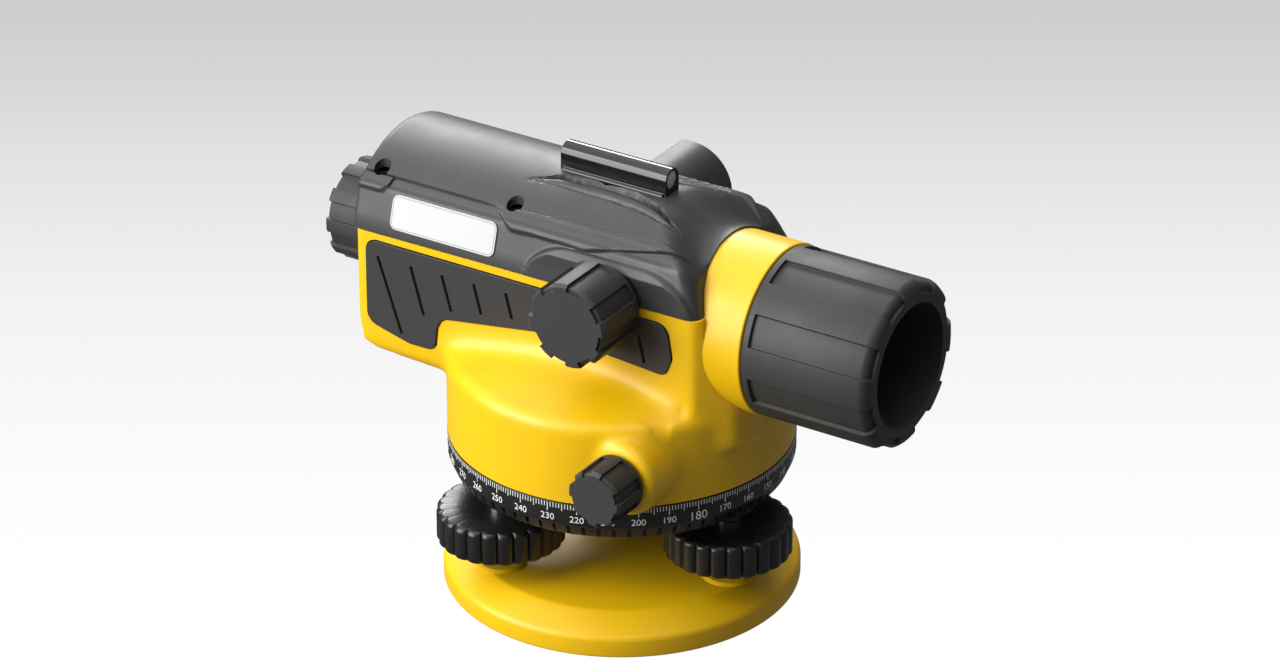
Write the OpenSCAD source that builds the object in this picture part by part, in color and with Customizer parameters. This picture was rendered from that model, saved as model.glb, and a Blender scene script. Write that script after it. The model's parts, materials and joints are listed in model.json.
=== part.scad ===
// Automatic level: an optical surveying level on three foot screws.
// Origin: middle of the base plate's underside, on the tripod screw's axis.
// +X runs along the line of sight towards the objective, +Z is up.

/* [Base and foot screws] */
// Outer radius of the base plate
base_r = 60; // [58:0.5:62]
// Height of the base plate
base_h = 12.5; // [12:0.1:13]
// Height of the base plate's upright rim, below its sloping edge
rim_h = 7.2; // [6:0.1:8]
// Radius of the flat top inside the sloping edge
top_r = 50; // [49:0.5:52]
// Wall radius of the tripod screw's hole
thread_r = 6.75; // [6.6:0.05:6.9]
// Outer radius of the tripod thread's insert
insert_r = 10; // [9.5:0.1:12]
// Length of the tripod thread's insert, which ends below the base plate's closed top
insert_l = 11; // [10:0.1:11.5]
// Radius of the circle that the three foot screws stand on
foot_circle_r = 43.6; // [43:0.1:44]
// Direction of the first foot screw, from +X
foot_turn = -124; // [-130:1:-110]
// Radius of a foot screw's knob over its ribs
foot_knob_r = 21.5; // [20:0.1:21.5]
// Underside of the foot screw knobs
foot_knob_z = 22; // [21.5:0.1:22.5]
// Height of a foot screw knob
foot_knob_h = 12; // [11:0.1:12]
// Ribs round a foot screw knob
foot_ribs = 24; // [18:1:28]

/* [Horizontal circle and turret] */
// Radius of the circle's scale
circle_r = 58; // [57:0.1:59]
// Lower edge of the circle
circle_z = 42.9; // [42.5:0.1:43.5]
// Upper edge of the circle
circle_top = 55.2; // [55:0.1:55.5]
// Radius of the turret under the telescope
drum_r = 58; // [57:0.1:59]
// Height at which the turret's wall turns into its sloping top
drum_top = 81; // [80:0.1:82]

/* [Telescope body] */
// Height of the line of sight
axis_z = 107.5; // [107:0.1:108]
// Half width of the body
body_w = 31.3; // [31:0.1:32]
// Rear end of the body
body_back = -85.5; // [-86:0.1:-85]
// Front end of the body
body_front = 47; // [46.5:0.1:48]
// Underside of the body behind the turret
body_z = 70; // [69:0.1:71]
// Height of the joint between body and cover
split_z = 118; // [117.8:0.1:118.5]
// Radius of the cover's arch about the line of sight
arch_r = 38; // [37.5:0.1:38.5]
// Wall of the body casting
wall = 4; // [3.5:0.1:4.2]

/* [Objective and eyepiece] */
// Outer radius of the objective's rubber sleeve
sleeve_r = 28.5; // [28:0.1:29]
// Rear end of the sleeve
sleeve_back = 62.9; // [62.5:0.1:63.5]
// Front end of the sleeve
sleeve_front = 109.3; // [108:0.1:110]
// Radius of the sleeve's front opening
hood_r = 20.9; // [20.5:0.1:21.5]
// Radius of the collar behind the sleeve
collar_r = 28.9; // [28.5:0.1:29.2]
// Outer radius of the objective's cell
cell_r = 24; // [23.5:0.1:24.2]
// Outer radius of the eyepiece ring
eye_r = 17.5; // [17:0.1:18]
// Rear end of the eyepiece ring
eye_back = -107; // [-108:0.1:-106.5]

/* [Knobs] */
// Place of the focusing knob's axis along the body
focus_x = 13; // [12.5:0.1:13.5]
// Height of the focusing knob's axis
focus_z = 118; // [117.8:0.1:118.2]
// Radius of the focusing knob
focus_r = 14.8; // [14:0.1:15.2]
// Length of the focusing knob
focus_l = 21; // [20:0.5:22]
// Place of the tangent screw's axis ahead of the turret's axis
tangent_x = 32.7; // [32.5:0.1:33]
// Height of the tangent screw's axis
tangent_z = 67.4; // [67:0.1:67.6]
// Radius of a tangent knob
tangent_r = 10; // [9.5:0.1:10.2]
// Outer end of a tangent knob, from the middle
tangent_end = 68; // [67:0.5:70]

/* [Hidden] */
$fn = 96;
YELLOW = "#f4c400";
BLACK = "#2b2c2e";
STEEL = "#b9bcc0";
BRASS = "#c9a456";
GLASS = "#9fc4cc";
BIG = 400;
// Small gap that keeps two fixed neighbours from sharing a curved face
gap = 0.1;
// Radial running clearance of a shaft in its bush
run = 0.05;
// Ball joint under each foot screw
ball_z = 8.6;
ball_r = 4;
pocket_r = 7.3;
shoe_r = 6.5;
neck_r = 2.2;
stem_r = 4;
stem_top = 47;
// Tribrach: plate, hub and the axle that it carries
plate_z = 38.5;
plate_h = 5;
hub_r = 16;
axle_r = 8;
axle_top = 82.5;
web_z = circle_top - 2;
drum_z = circle_top + 0.4;
drum_wall = 3.5;
floor_z = 76;
trough_z = 79;
cone_top = 94;
// Focusing drive
pinion_r = 4;
rod_r = 1.5;
rod_front = 43;
rod_back = -11;
rod_y = 14;
rod_z = 100;
lens_r = 9;
cell_front = 78;
tape_x = -28.5;
// Circular vial on the far side
vial_x = 1;
vial_y = 41;
shelf_z = 97;
shelf_top = 105;
boss_r = 13;
boss_y = 53;
eye_tube_r = 13.5;
pad_t = 1.6;
// Screws that hold the cover
screw_x = [-79, -26.7];
screw_y = 22.4;
post_r = 5.4;
// Direction that the cover's sides lean in
lean = 16;
side_z = 121;
hood_y = 51;
hood_top = 137;
// Start of the cover's nose and how far its arch comes down to the front
nose_x = 31;
nose_drop = 6;

// Puts its children at a foot screw's place.
module at_foot(i) {
    rotate([0, 0, foot_turn + 120 * i])
        translate([foot_circle_r, 0, 0])
            children();
}
// A cylinder along X from x1 to x2 about the point (y, z).
module xcyl(r, x1, x2, y = 0, z = axis_z, r2 = -1) {
    translate([x1, y, z])
        rotate([0, 90, 0])
            cylinder(r1 = r, r2 = r2 < 0 ? r : r2, h = x2 - x1);
}
// A cylinder along Y from y1 to y2 about the point (x, z).
module ycyl(r, y1, y2, x, z) {
    translate([x, y2, z])
        rotate([90, 0, 0])
            cylinder(r = r, h = y2 - y1);
}
// A tube along X.
module xtube(r, inner, x1, x2, y = 0, z = axis_z) {
    difference() {
        xcyl(r, x1, x2, y, z);
        xcyl(inner, x1 - 1, x2 + 1, y, z);
    }
}
// A box given by its lowest and highest corners.
module block(low, high) {
    translate(low)
        cube(high - low);
}
// A cheese-head screw that points down, its head's top at z = 0.
module screw(head_r, head_h, shank_r, length) {
    difference() {
        translate([0, 0, -head_h])
            cylinder(r = head_r, h = head_h);
        translate([-head_r, -0.3, -0.45 * head_h])
            cube([2 * head_r, 0.6, head_h]);
    }
    translate([0, 0, -length])
        cylinder(r = shank_r, h = length - head_h + 0.01);
}
// Flat outline of a disc with square notches round its rim.
module fluted_outline(r, count, depth, width) {
    difference() {
        circle(r = r);
        for (i = [0:count - 1])
            rotate([0, 0, i * 360 / count])
                translate([r - depth, -width / 2])
                    square([2 * depth, width]);
    }
}

// Base plate: a cast disc with a sloping edge and a pocket for each foot ball.
module base_plate() {
    color(YELLOW)
        difference() {
            rotate_extrude()
                polygon([[0, 0], [base_r - 1, 0], [base_r, 1], [base_r, rim_h],
                    [top_r, base_h], [0, base_h]]);
            translate([0, 0, -1])
                cylinder(r = insert_r + gap, h = insert_l + gap + 1);
            for (i = [0:2])
                at_foot(i)
                    translate([0, 0, 3.4])
                        cylinder(r = pocket_r, h = base_h);
            translate([0, 0, -1])
                difference() {
                    cylinder(r = 54, h = 2.6);
                    cylinder(r = 20, h = 2.6);
                }
            for (i = [0:2])
                rotate([0, 0, foot_turn + 60 + 120 * i])
                    translate([30, 0, 0])
                        cylinder(r = 1.5 + gap, h = 9);
        }
}
// Threaded insert for the tripod's centre screw.
module tripod_thread_insert() {
    color(BRASS)
        difference() {
            cylinder(r = insert_r, h = insert_l);
            translate([0, 0, -1])
                cylinder(r = thread_r, h = insert_l + 2);
        }
}
// Three-armed leaf spring in the recess under the base plate.
module spring_plate() {
    color(STEEL)
        translate([0, 0, 0.5])
            difference() {
                union() {
                    difference() {
                        cylinder(r = 34, h = 1);
                        translate([0, 0, -1])
                            cylinder(r = 24, h = 3);
                    }
                    for (i = [0:2])
                        rotate([0, 0, foot_turn + 120 * i])
                            translate([30, -6, 0])
                                cube([20, 12, 1]);
                }
                for (i = [0:2])
                    rotate([0, 0, foot_turn + 60 + 120 * i])
                        translate([30, 0, -1])
                            cylinder(r = 1.5 + gap, h = 3);
            }
}
module spring_plate_screws() {
    color(STEEL)
        for (i = [0:2])
            rotate([0, 0, foot_turn + 60 + 120 * i])
                translate([30, 0, 0.02])
                    mirror([0, 0, 1])
                        screw(2.6, 0.46, 1.5, 7.5);
}
// Cup that the ball of a foot screw turns in.
module ball_shoe(i) {
    color("#d8d6cc")
        at_foot(i)
            difference() {
                translate([0, 0, 4.2])
                    cylinder(r = shoe_r, h = ball_z - 4.2);
                translate([0, 0, ball_z])
                    sphere(r = ball_r + run);
            }
}
// Snap ring over the ball, which keeps it in its cup.
module ball_collar(i) {
    color("#d8d6cc")
        at_foot(i)
            difference() {
                translate([0, 0, ball_z + 0.6])
                    cylinder(r = shoe_r, h = 2.9);
                translate([0, 0, ball_z])
                    sphere(r = ball_r + 0.35);
                cylinder(r = 3.3, h = base_h + 2);
            }
}
// Foot screw: ball, neck and threaded stem in one.
module foot_spindle(i) {
    color(STEEL)
        at_foot(i) {
            difference() {
                translate([0, 0, ball_z])
                    sphere(r = ball_r);
                translate([-5, -5, ball_z - 5.2])
                    cube([10, 10, 2]);
            }
            translate([0, 0, ball_z])
                cylinder(r = neck_r, h = foot_knob_z - 4 - ball_z);
            translate([0, 0, foot_knob_z - 4])
                cylinder(r = stem_r, h = stem_top - foot_knob_z + 4);
        }
}
// Ribbed knob of a foot screw.
module foot_knob(i) {
    color(BLACK)
        at_foot(i)
            difference() {
                union() {
                    translate([0, 0, foot_knob_z])
                        linear_extrude(foot_knob_h)
                            fluted_outline(foot_knob_r, foot_ribs, 1.1, 1.9);
                    translate([0, 0, foot_knob_z - 3])
                        cylinder(r = 8, h = 4);
                }
                translate([0, 0, foot_knob_z - 4])
                    cylinder(r = stem_r + gap / 2, h = foot_knob_h + 5);
                translate([0, 0, foot_knob_z + foot_knob_h - 1.5])
                    difference() {
                        cylinder(r = 17, h = 3);
                        cylinder(r = 9, h = 3);
                    }
            }
}
// Plate that the three foot screws carry, with the hub of the vertical axis.
module tribrach_plate() {
    color(BLACK)
        difference() {
            union() {
                rotate([0, 0, foot_turn + 60])
                    rotate_extrude()
                        polygon([[0, plate_z], [34, plate_z], [34, plate_z + plate_h - 0.5],
                            [hub_r, plate_z + plate_h - 0.5], [hub_r, web_z - 1.2], [0, web_z - 1.2]]);
                for (i = [0:2])
                    rotate([0, 0, foot_turn + 120 * i]) {
                        translate([hub_r + 2, -8, plate_z + 0.4])
                            cube([foot_circle_r - hub_r - 2, 16, plate_h - 0.4]);
                        translate([foot_circle_r, 0, plate_z])
                            rotate([0, 0, 45])
                                cylinder(r = 8.6, h = plate_h + 2);
                    }
            }
            translate([0, 0, plate_z - 1])
                cylinder(r = axle_r + gap / 2, h = 30);
            for (i = [0:2])
                at_foot(i)
                    translate([0, 0, plate_z - 1])
                        cylinder(r = 6 + gap / 2, h = plate_h + 4);
        }
}
// Threaded bushes that the foot screws turn in.
module foot_bushes() {
    color(BRASS)
        for (i = [0:2])
            at_foot(i)
                translate([0, 0, plate_z])
                    difference() {
                        cylinder(r = 6, h = plate_h + 2);
                        translate([0, 0, -1])
                            cylinder(r = stem_r + run, h = plate_h + 4);
                    }
}
// Vertical axle, fixed in the tribrach's hub.
module centre_axle() {
    color(STEEL)
        difference() {
            translate([0, 0, plate_z])
                cylinder(r = axle_r, h = axle_top - plate_z);
            translate([0, 0, axle_top - 3])
                difference() {
                    cylinder(r = axle_r + 1, h = 1.2);
                    cylinder(r = axle_r - 1, h = 1.2);
                }
        }
}
// Spring clip in the axle's groove, which keeps the body on the axle.
module axle_clip() {
    color(STEEL)
        translate([0, 0, axle_top - 2.9])
            difference() {
                cylinder(r = axle_r + 2.5, h = 1);
                translate([0, 0, -1])
                    cylinder(r = axle_r - 1 + gap / 2, h = 3);
                translate([0, -3, -1])
                    cube([20, 6, 3]);
            }
}
// Graduated horizontal circle: a ring on a thin web round the hub.
module horizontal_circle() {
    color(BLACK)
        difference() {
            rotate_extrude()
                polygon([[hub_r - 7.4, web_z], [53, web_z], [53, circle_z], [circle_r - 2, circle_z],
                    [circle_r, circle_z + 5], [circle_r, circle_top], [hub_r - 7.4, circle_top]]);
            for (i = [0:71])
                rotate([0, 0, 5 * i])
                    translate([circle_r - 1.1, -0.8, circle_z - 1])
                        cube([3, 1.6, 3.6]);
        }
}
// Friction washer between the hub and the circle.
module circle_washer() {
    color(STEEL)
        translate([0, 0, web_z - 1.1])
            difference() {
                cylinder(r = 15, h = 1);
                translate([0, 0, -1])
                    cylinder(r = axle_r + 0.6, h = 3);
            }
}
// Wheel that the tangent screw's worm runs on, held on the axle by friction.
module worm_wheel() {
    color(BRASS)
        translate([0, 0, tangent_z - 3])
            difference() {
                union() {
                    linear_extrude(6)
                        fluted_outline(28.4, 90, 0.6, 0.9);
                    translate([0, 0, -2.5])
                        cylinder(r = 13, h = 4);
                }
                translate([0, 0, -4])
                    cylinder(r = axle_r + run, h = 12);
            }
}

// Section of the body casting's trough, across X.
module trough_section(w, low, round_r) {
    for (s = [-1, 1])
        translate([s * (w - round_r), low + round_r])
            circle(r = round_r);
    translate([-w, low + round_r])
        square([2 * w, split_z - low - round_r]);
    translate([-w + round_r, low])
        square([2 * w - 2 * round_r, round_r + 1]);
}
// Turns a section drawn in Y and Z into a prism along X.
module along_x(x1, x2) {
    translate([x1, 0, 0])
        rotate([90, 0, 90])
            linear_extrude(x2 - x1)
                children();
}
// Outline of a grip pad on the side wall, in X and Z.
module grip_outline(i, far) {
    difference() {
        polygon([[-80 + i, 88], [-77 + i, 85 + i], [-66.7, 82 + i], [-58, 81.5 + i], [-53 - i, 84],
            [-52 - i, 90], [-50, 94 + i], [-14, 99.5 + i], [14, 99 + i], [34, 97.5 + i],
            [38.4 - i, 100], [39 - i, 104], [37.5 - i, 111.6], [33, 115.6 - i], [-76.6, 115.6 - i],
            [-80 + i, 112]]);
        if (far)
            translate([vial_x - 15 - i, 0])
                square([30 + 2 * i, BIG]);
        else
            translate([focus_x, focus_z])
                circle(r = 8.5 + i);
    }
}
// Body casting: the turret and the open-topped trough that holds the telescope.
module body_housing() {
    cavity_r = drum_r - drum_wall;
    inner_w = body_w - wall;
    color(YELLOW)
        difference() {
            union() {
                rotate_extrude()
                    polygon([[0, drum_z], [drum_r, drum_z], [drum_r, drum_top], [drum_r - 1.4, drum_top + 2],
                        [30, cone_top], [0, cone_top]]);
                along_x(body_back, body_front)
                    trough_section(body_w, body_z, 6);
                for (s = [-1, 1])
                    ycyl(boss_r, s < 0 ? -boss_y : 0, s < 0 ? 0 : boss_y, tangent_x, tangent_z);
                block([vial_x - 13, body_w - 2, shelf_z], [vial_x + 13, vial_y + 11, shelf_top]);
            }
            block([-BIG, -BIG, 0], [BIG, BIG, drum_z]);
            difference() {
                rotate_extrude()
                    polygon([[0, drum_z - 1], [cavity_r, drum_z - 1], [cavity_r, drum_top - 3],
                        [inner_w, cone_top - 6], [0, cone_top - 6]]);
                block([-BIG, -body_w, floor_z], [BIG, body_w, BIG]);
            }
            difference() {
                block([-48, -inner_w, trough_z], [body_front - wall, inner_w, split_z + 1]);
                for (s = [-1, 1])
                    translate([screw_x[1], s * screw_y, trough_z - 1])
                        cylinder(r = post_r, h = BIG);
            }
            difference() {
                block([body_back + wall, -inner_w, body_z + wall], [-59, inner_w, split_z + 1]);
                for (s = [-1, 1])
                    translate([screw_x[0], s * screw_y, body_z])
                        cylinder(r = post_r, h = BIG);
            }
            block([-60, -inner_w, trough_z], [-47, inner_w, split_z + 1]);
            xcyl(cell_r + gap, body_front - wall - 1, body_front + 30);
            xcyl(collar_r + gap, body_front, body_front + 30);
            xcyl(eye_tube_r + gap, body_back - 1, body_back + wall + 1);
            for (s = [-1, 1]) {
                ycyl(5 + gap, s < 0 ? -boss_y - 1 : 40, s < 0 ? -40 : boss_y + 1, tangent_x, tangent_z);
                for (x = screw_x)
                    translate([x, s * screw_y, split_z - 14])
                        cylinder(r = 1.5 + gap, h = 20);
                grip_prism(s, pad_t, 0);
            }
            ycyl(6 + gap, -BIG, 0, focus_x, focus_z);
            translate([0, 0, floor_z - 1])
                cylinder(r = 12 + gap, h = 4.5);
            translate([vial_x, vial_y, shelf_z + 3])
                cylinder(r = 7.6, h = 20);
            for (k = [0:2])
                round_vial(k)
                    translate([0, 0, shelf_z - 1])
                        cylinder(r = 1 + gap, h = 6);
        }
}
// A grip pad's outline as a prism that lies in the side wall of side s.
module grip_prism(s, depth, inset) {
    translate([0, s < 0 ? -body_w : body_w + 1, 0])
        rotate([90, 0, 0])
            translate([0, 0, s < 0 ? -depth : 0])
                linear_extrude(depth + 1)
                    grip_outline(inset, s > 0);
}
// Puts its children at one of the three screws round the vial.
module round_vial(k) {
    translate([vial_x, vial_y, 0])
        rotate([0, 0, 90 + 120 * k])
            translate([5, 0, 0])
                children();
}
// Bush in the body's floor that runs on the axle.
module axle_bush() {
    color(BRASS)
        translate([0, 0, floor_z - 3.6])
            difference() {
                union() {
                    cylinder(r = 12, h = 6.6);
                    cylinder(r = 15, h = 3.5);
                }
                translate([0, 0, -1])
                    cylinder(r = axle_r + run, h = 8.6);
            }
}
// Cover's outline across X: leaning sides under an arch.
module cover_section(w, r) {
    side = w - (split_z + 18 - side_z) * tan(lean);
    intersection() {
        translate([0, axis_z])
            circle(r = r);
        polygon([[-w, split_z], [-w, side_z], [-side, split_z + 18], [-side, 160], [side, 160],
            [side, split_z + 18], [w, side_z], [w, split_z]]);
    }
}
// Solid shape of the cover, drawn in by inset, with a tapered nose at its front.
module cover_solid(inset) {
    w = body_w - inset;
    r = arch_r - inset;
    low = inset > 0 ? -0.01 : 0;
    back = body_back + max(inset, 0);
    front = body_front - max(inset, 0);
    translate([0, 0, low]) {
        along_x(back, nose_x)
            cover_section(w, r);
        intersection() {
            along_x(nose_x - 0.01, front)
                cover_section(w, r);
            xcyl(r, nose_x - 0.01, front, r2 = r - nose_drop);
        }
    }
}
// Cover over the telescope: a moulded shell with four screw posts.
module top_cover() {
    color(BLACK)
        difference() {
            union() {
                difference() {
                    cover_solid(0);
                    cover_solid(3);
                }
                intersection() {
                    cover_solid(0);
                    for (s = [-1, 1], x = screw_x)
                        translate([x, s * screw_y, split_z])
                            cylinder(r = post_r, h = 40);
                }
            }
            for (s = [-1, 1], x = screw_x) {
                translate([x, s * screw_y, split_z + 11])
                    cylinder(r = 2.9, h = 40);
                translate([x, s * screw_y, split_z - 1])
                    cylinder(r = 1.5 + gap, h = 40);
            }
            ycyl(6 + gap, -BIG, 0, focus_x, focus_z);
            xcyl(cell_r + gap, body_front - 4, body_front + 1);
            xcyl(eye_tube_r + gap, body_back - 1, body_back + 4);
            badge(gap, 1);
        }
}
module cover_screws() {
    color(STEEL)
        for (s = [-1, 1], x = screw_x)
            translate([x, s * screw_y, split_z + 13])
                screw(2.7, 2, 1.5, 24);
}
// The badge's plate, let into the cover's leaning side.
module badge(grow, proud) {
    w = 41 + 2 * grow;
    h = 12.5 + 2 * grow;
    r = 2.5 + grow;
    translate([-50, -body_w, side_z])
        rotate([90 - lean, 0, 0])
            translate([-w / 2, 1.2 - grow, -0.5 - grow / 2])
                linear_extrude(0.9 + proud) {
                    translate([r, 0])
                        square([w - 2 * r, h]);
                    translate([0, r])
                        square([w, h - 2 * r]);
                    for (x = [r, w - r], y = [r, h - r])
                        translate([x, y])
                            circle(r = r);
                }
}
module badge_plate() {
    color("white")
        badge(0, 0);
}
module grip_pads() {
    color("#3a3a3a")
        for (s = [-1, 1])
            intersection() {
                grip_prism(s, pad_t - 0.05, 0.15);
                block([-BIG, -body_w - 0.3, 0], [BIG, body_w + 0.3, BIG]);
            }
}

// Collar between the body and the objective's sleeve.
module objective_collar() {
    color(YELLOW)
        difference() {
            xcyl(collar_r, body_front + gap, sleeve_back - 0.2);
            xcyl(cell_r + gap, body_front - 1, sleeve_back + 1);
        }
}
// Rubber sleeve round the objective, with shallow panels and a chamfered front.
module objective_sleeve() {
    color("#333436")
        difference() {
            union() {
                xcyl(sleeve_r, sleeve_back, sleeve_front - 3.5);
                xcyl(sleeve_r, sleeve_front - 3.51, sleeve_front, r2 = sleeve_r - 2.5);
            }
            xcyl(cell_r + gap, sleeve_back - 1, cell_front + 0.1);
            xcyl(hood_r, sleeve_back, sleeve_front + 1);
            for (i = [0:7])
                translate([sleeve_back + 2.4, 0, axis_z])
                    rotate([45 * i + 20.8, 0, 0])
                        translate([0, -5.4, sleeve_r - 0.8])
                            cube([60, 10.8, 3]);
        }
}
module objective_cell() {
    color(STEEL)
        difference() {
            xcyl(cell_r, 41, cell_front);
            xcyl(12.4, 40, 45);
            xcyl(18, rod_front + 1, 64);
            xcyl(20, 63.9, cell_front + 1);
            for (s = [-1, 1])
                xcyl(rod_r + 0.02, 40, 45, s * rod_y, rod_z);
        }
}
module objective_lens() {
    color(GLASS)
        intersection() {
            xcyl(19.95, 64, 74);
            translate([14, 0, axis_z])
                sphere(r = 59, $fn = 192);
        }
}
// Lens carriage with its rack and the ears that ride on the guide rods.
module focusing_carriage() {
    color(STEEL)
        difference() {
            union() {
                xcyl(11, focus_x - 6, focus_x + 6);
                block([focus_x - 11.5, -15.5, 109.8], [focus_x + 15, -9.5, focus_z - pinion_r - 0.3]);
                for (s = [-1, 1]) {
                    xcyl(3.4, focus_x - 6, focus_x + 6, s * rod_y, rod_z);
                    block([focus_x - 6, s > 0 ? 4 : -rod_y, rod_z - 2],
                        [focus_x + 6, s > 0 ? rod_y : -4, rod_z + 2]);
                }
            }
            xcyl(lens_r, focus_x - 20, focus_x + 20);
            for (s = [-1, 1])
                xcyl(rod_r + run, focus_x - 20, focus_x + 20, s * rod_y, rod_z);
        }
}
module focusing_lens() {
    color(GLASS)
        difference() {
            xcyl(lens_r - 0.02, focus_x - 2.5, focus_x + 2.5);
            translate([focus_x + 42, 0, axis_z])
                sphere(r = 40.5, $fn = 192);
        }
}
module guide_rods() {
    color(STEEL)
        for (s = [-1, 1])
            xcyl(rod_r, rod_back, rod_front, s * rod_y, rod_z);
}
// Shaft of the focusing knob with its pinion.
module focus_shaft() {
    color(STEEL) {
        ycyl(3, -body_w - 14, -9, focus_x, focus_z);
        translate([focus_x, -9, focus_z])
            rotate([90, 0, 0])
                linear_extrude(7)
                    fluted_outline(pinion_r, 16, 0.5, 0.75);
    }
}
module focus_bush() {
    color(BRASS)
        difference() {
            ycyl(6, -body_w - 0.8, -body_w + wall + 1, focus_x, focus_z);
            ycyl(3 + run, -BIG, 0, focus_x, focus_z);
        }
}
// A hand knob along +Z: chamfered, with shallow panels and a notched face rim.
module hand_knob(r, length, panels, bore_r, bore_l) {
    difference() {
        union() {
            cylinder(r = r, h = length - 1.6);
            translate([0, 0, length - 1.61])
                cylinder(r1 = r, r2 = r - 1.4, h = 1.61);
        }
        for (i = [0:panels - 1])
            rotate([0, 0, i * 360 / panels]) {
                translate([r - 0.6, -0.22 * r, 2.2])
                    cube([3, 0.44 * r, length - 4.4]);
                translate([r - 1.6, -0.1 * r, length - 1.2])
                    cube([3, 0.2 * r, 3]);
            }
        translate([0, 0, -1])
            cylinder(r = bore_r, h = bore_l + 1);
    }
}
module focus_knob() {
    color("#37383a")
        translate([focus_x, -body_w - 1.2, focus_z])
            rotate([90, 0, 0])
                hand_knob(focus_r, focus_l, 8, 3 + gap / 2, 13);
}

// Compensator: the frame that is fixed in the body, with its suspension tapes.
module compensator_frame() {
    color(STEEL)
        difference() {
            union() {
                block([-48, -15, 88], [-9, 15, 91]);
                block([-12, -17.5, 88], [-9, 17.5, 126]);
                block([-48, -15, 88], [-45, 15, 126]);
                for (s = [-1, 1], x = [-45, -23])
                    block([x, s > 0 ? 13 : -15, 121], [x + 11, s > 0 ? 15 : -13, 126]);
                for (s = [-1, 1])
                    block([-48, s > 0 ? 13 : -15, 124], [-9, s > 0 ? 15 : -13, 126]);
                for (s = [-1, 1])
                    block([tape_x - 0.1, s > 0 ? 5 : -9, 119.7], [tape_x + 0.1, s > 0 ? 9 : -5, 126]);
                block([tape_x - 2, -15, 125], [tape_x + 2, 15, 128]);
                block([-40, -8, trough_z], [-16, 8, 88.5]);
            }
            xcyl(10, -60, 0);
            for (s = [-1, 1])
                xcyl(rod_r + 0.02, rod_back, 0, s * rod_y, rod_z);
        }
}
// Pendulum that hangs from the tapes and carries a prism.
module pendulum() {
    color(BRASS)
        difference() {
            block([tape_x - 6, -11, 94.6], [tape_x + 6, 11, 119.2]);
            block([tape_x - 7, -8, 98], [tape_x + 7, 8, 117]);
        }
}
module pendulum_prism() {
    color(GLASS)
        translate([tape_x, 7.9, 0])
            rotate([90, 0, 0])
                linear_extrude(15.8)
                    polygon([[-5.8, 98.1], [5.8, 98.1], [5.8, 110], [0, 116.9], [-5.8, 110]]);
}
module damper_magnet() {
    color(BLACK)
        translate([tape_x, 0, 91])
            cylinder(r = 8, h = 2.8);
}
module reticle_cell() {
    color(BRASS)
        xtube(10.9, 8, -68, -64);
}
module reticle_glass() {
    color(GLASS)
        xcyl(7.95, -67, -65);
}
// Four screws that centre the reticle in the eyepiece tube.
module reticle_screws() {
    color(STEEL)
        for (i = [0:3])
            translate([-66, 0, axis_z])
                rotate([45 + 90 * i, 0, 0])
                    translate([0, 0, 11])
                        cylinder(r = 0.9, h = 4);
}
module eyepiece_tube() {
    color(STEEL)
        difference() {
            union() {
                xtube(eye_tube_r, 11 + run, -100, -60);
                xtube(16, eye_tube_r - 1, body_back + wall + 0.1, body_back + wall + 2.5);
            }
            for (i = [0:3])
                translate([-66, 0, axis_z])
                    rotate([45 + 90 * i, 0, 0])
                        cylinder(r = 0.95, h = 20);
        }
}
// Ring that the observer turns to focus the cross-hairs.
module eyepiece_ring() {
    length = body_back - 1 - eye_back;
    color("#333436")
        difference() {
            translate([body_back - 1, 0, axis_z])
                rotate([0, -90, 0])
                    hand_knob(eye_r, length, 10, eye_tube_r + run, length - 6);
            xcyl(11.4, eye_back - 1, body_back);
        }
}
module ocular_cell() {
    color(BLACK)
        difference() {
            xcyl(11, -105, -72);
            xcyl(9, -106, -71);
        }
}
module ocular_lenses() {
    color(GLASS) {
        xcyl(8.95, -101, -97);
        xcyl(8.95, -80, -76);
    }
}

// Tangent screw: a shaft across the turret with its worm.
module tangent_shaft() {
    color(STEEL)
        difference() {
            union() {
                ycyl(3, 1 - tangent_end + 2, tangent_end - 3, tangent_x, tangent_z);
                ycyl(3.9, -9, 9, tangent_x, tangent_z);
            }
            for (i = [-4:4])
                translate([tangent_x, 2 * i + 0.4, tangent_z])
                    rotate([90, 0, 0])
                        difference() {
                            cylinder(r = 5, h = 0.8);
                            translate([0, 0, -1])
                                cylinder(r = 3.3, h = 3);
                        }
        }
}
module tangent_bushes() {
    color(BRASS)
        for (s = [-1, 1])
            difference() {
                ycyl(5, s < 0 ? -boss_y : 42, s < 0 ? -42 : boss_y, tangent_x, tangent_z);
                ycyl(3 + run, -BIG, BIG, tangent_x, tangent_z);
            }
}
module tangent_knob(s) {
    color("#37383a")
        translate([tangent_x, s * (boss_y + 0.5), tangent_z])
            rotate([s < 0 ? 90 : -90, 0, 0])
                hand_knob(tangent_r, tangent_end - boss_y - 0.5, 8, 3 + gap / 2, 12);
}

// Cup that holds the circular vial on the shelf of the far side.
module vial_holder() {
    color(BLACK)
        difference() {
            translate([vial_x, vial_y, shelf_z + 3.6])
                cylinder(r = 7.3, h = 8);
            translate([vial_x, vial_y, shelf_z + 5])
                cylinder(r = 6.4, h = 10);
            for (k = [0:2])
                round_vial(k)
                    translate([0, 0, shelf_z])
                        cylinder(r = 1 + gap, h = 20);
        }
}
module circular_vial() {
    color(GLASS)
        translate([vial_x, vial_y, shelf_z + 5.6])
            cylinder(r = 6.3, h = 6);
}
module vial_screws() {
    color(STEEL)
        for (k = [0:2])
            round_vial(k)
                translate([0, 0, shelf_z - 1.7])
                    mirror([0, 0, 1])
                        screw(1.8, 1.6, 1, 6);
}
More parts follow.
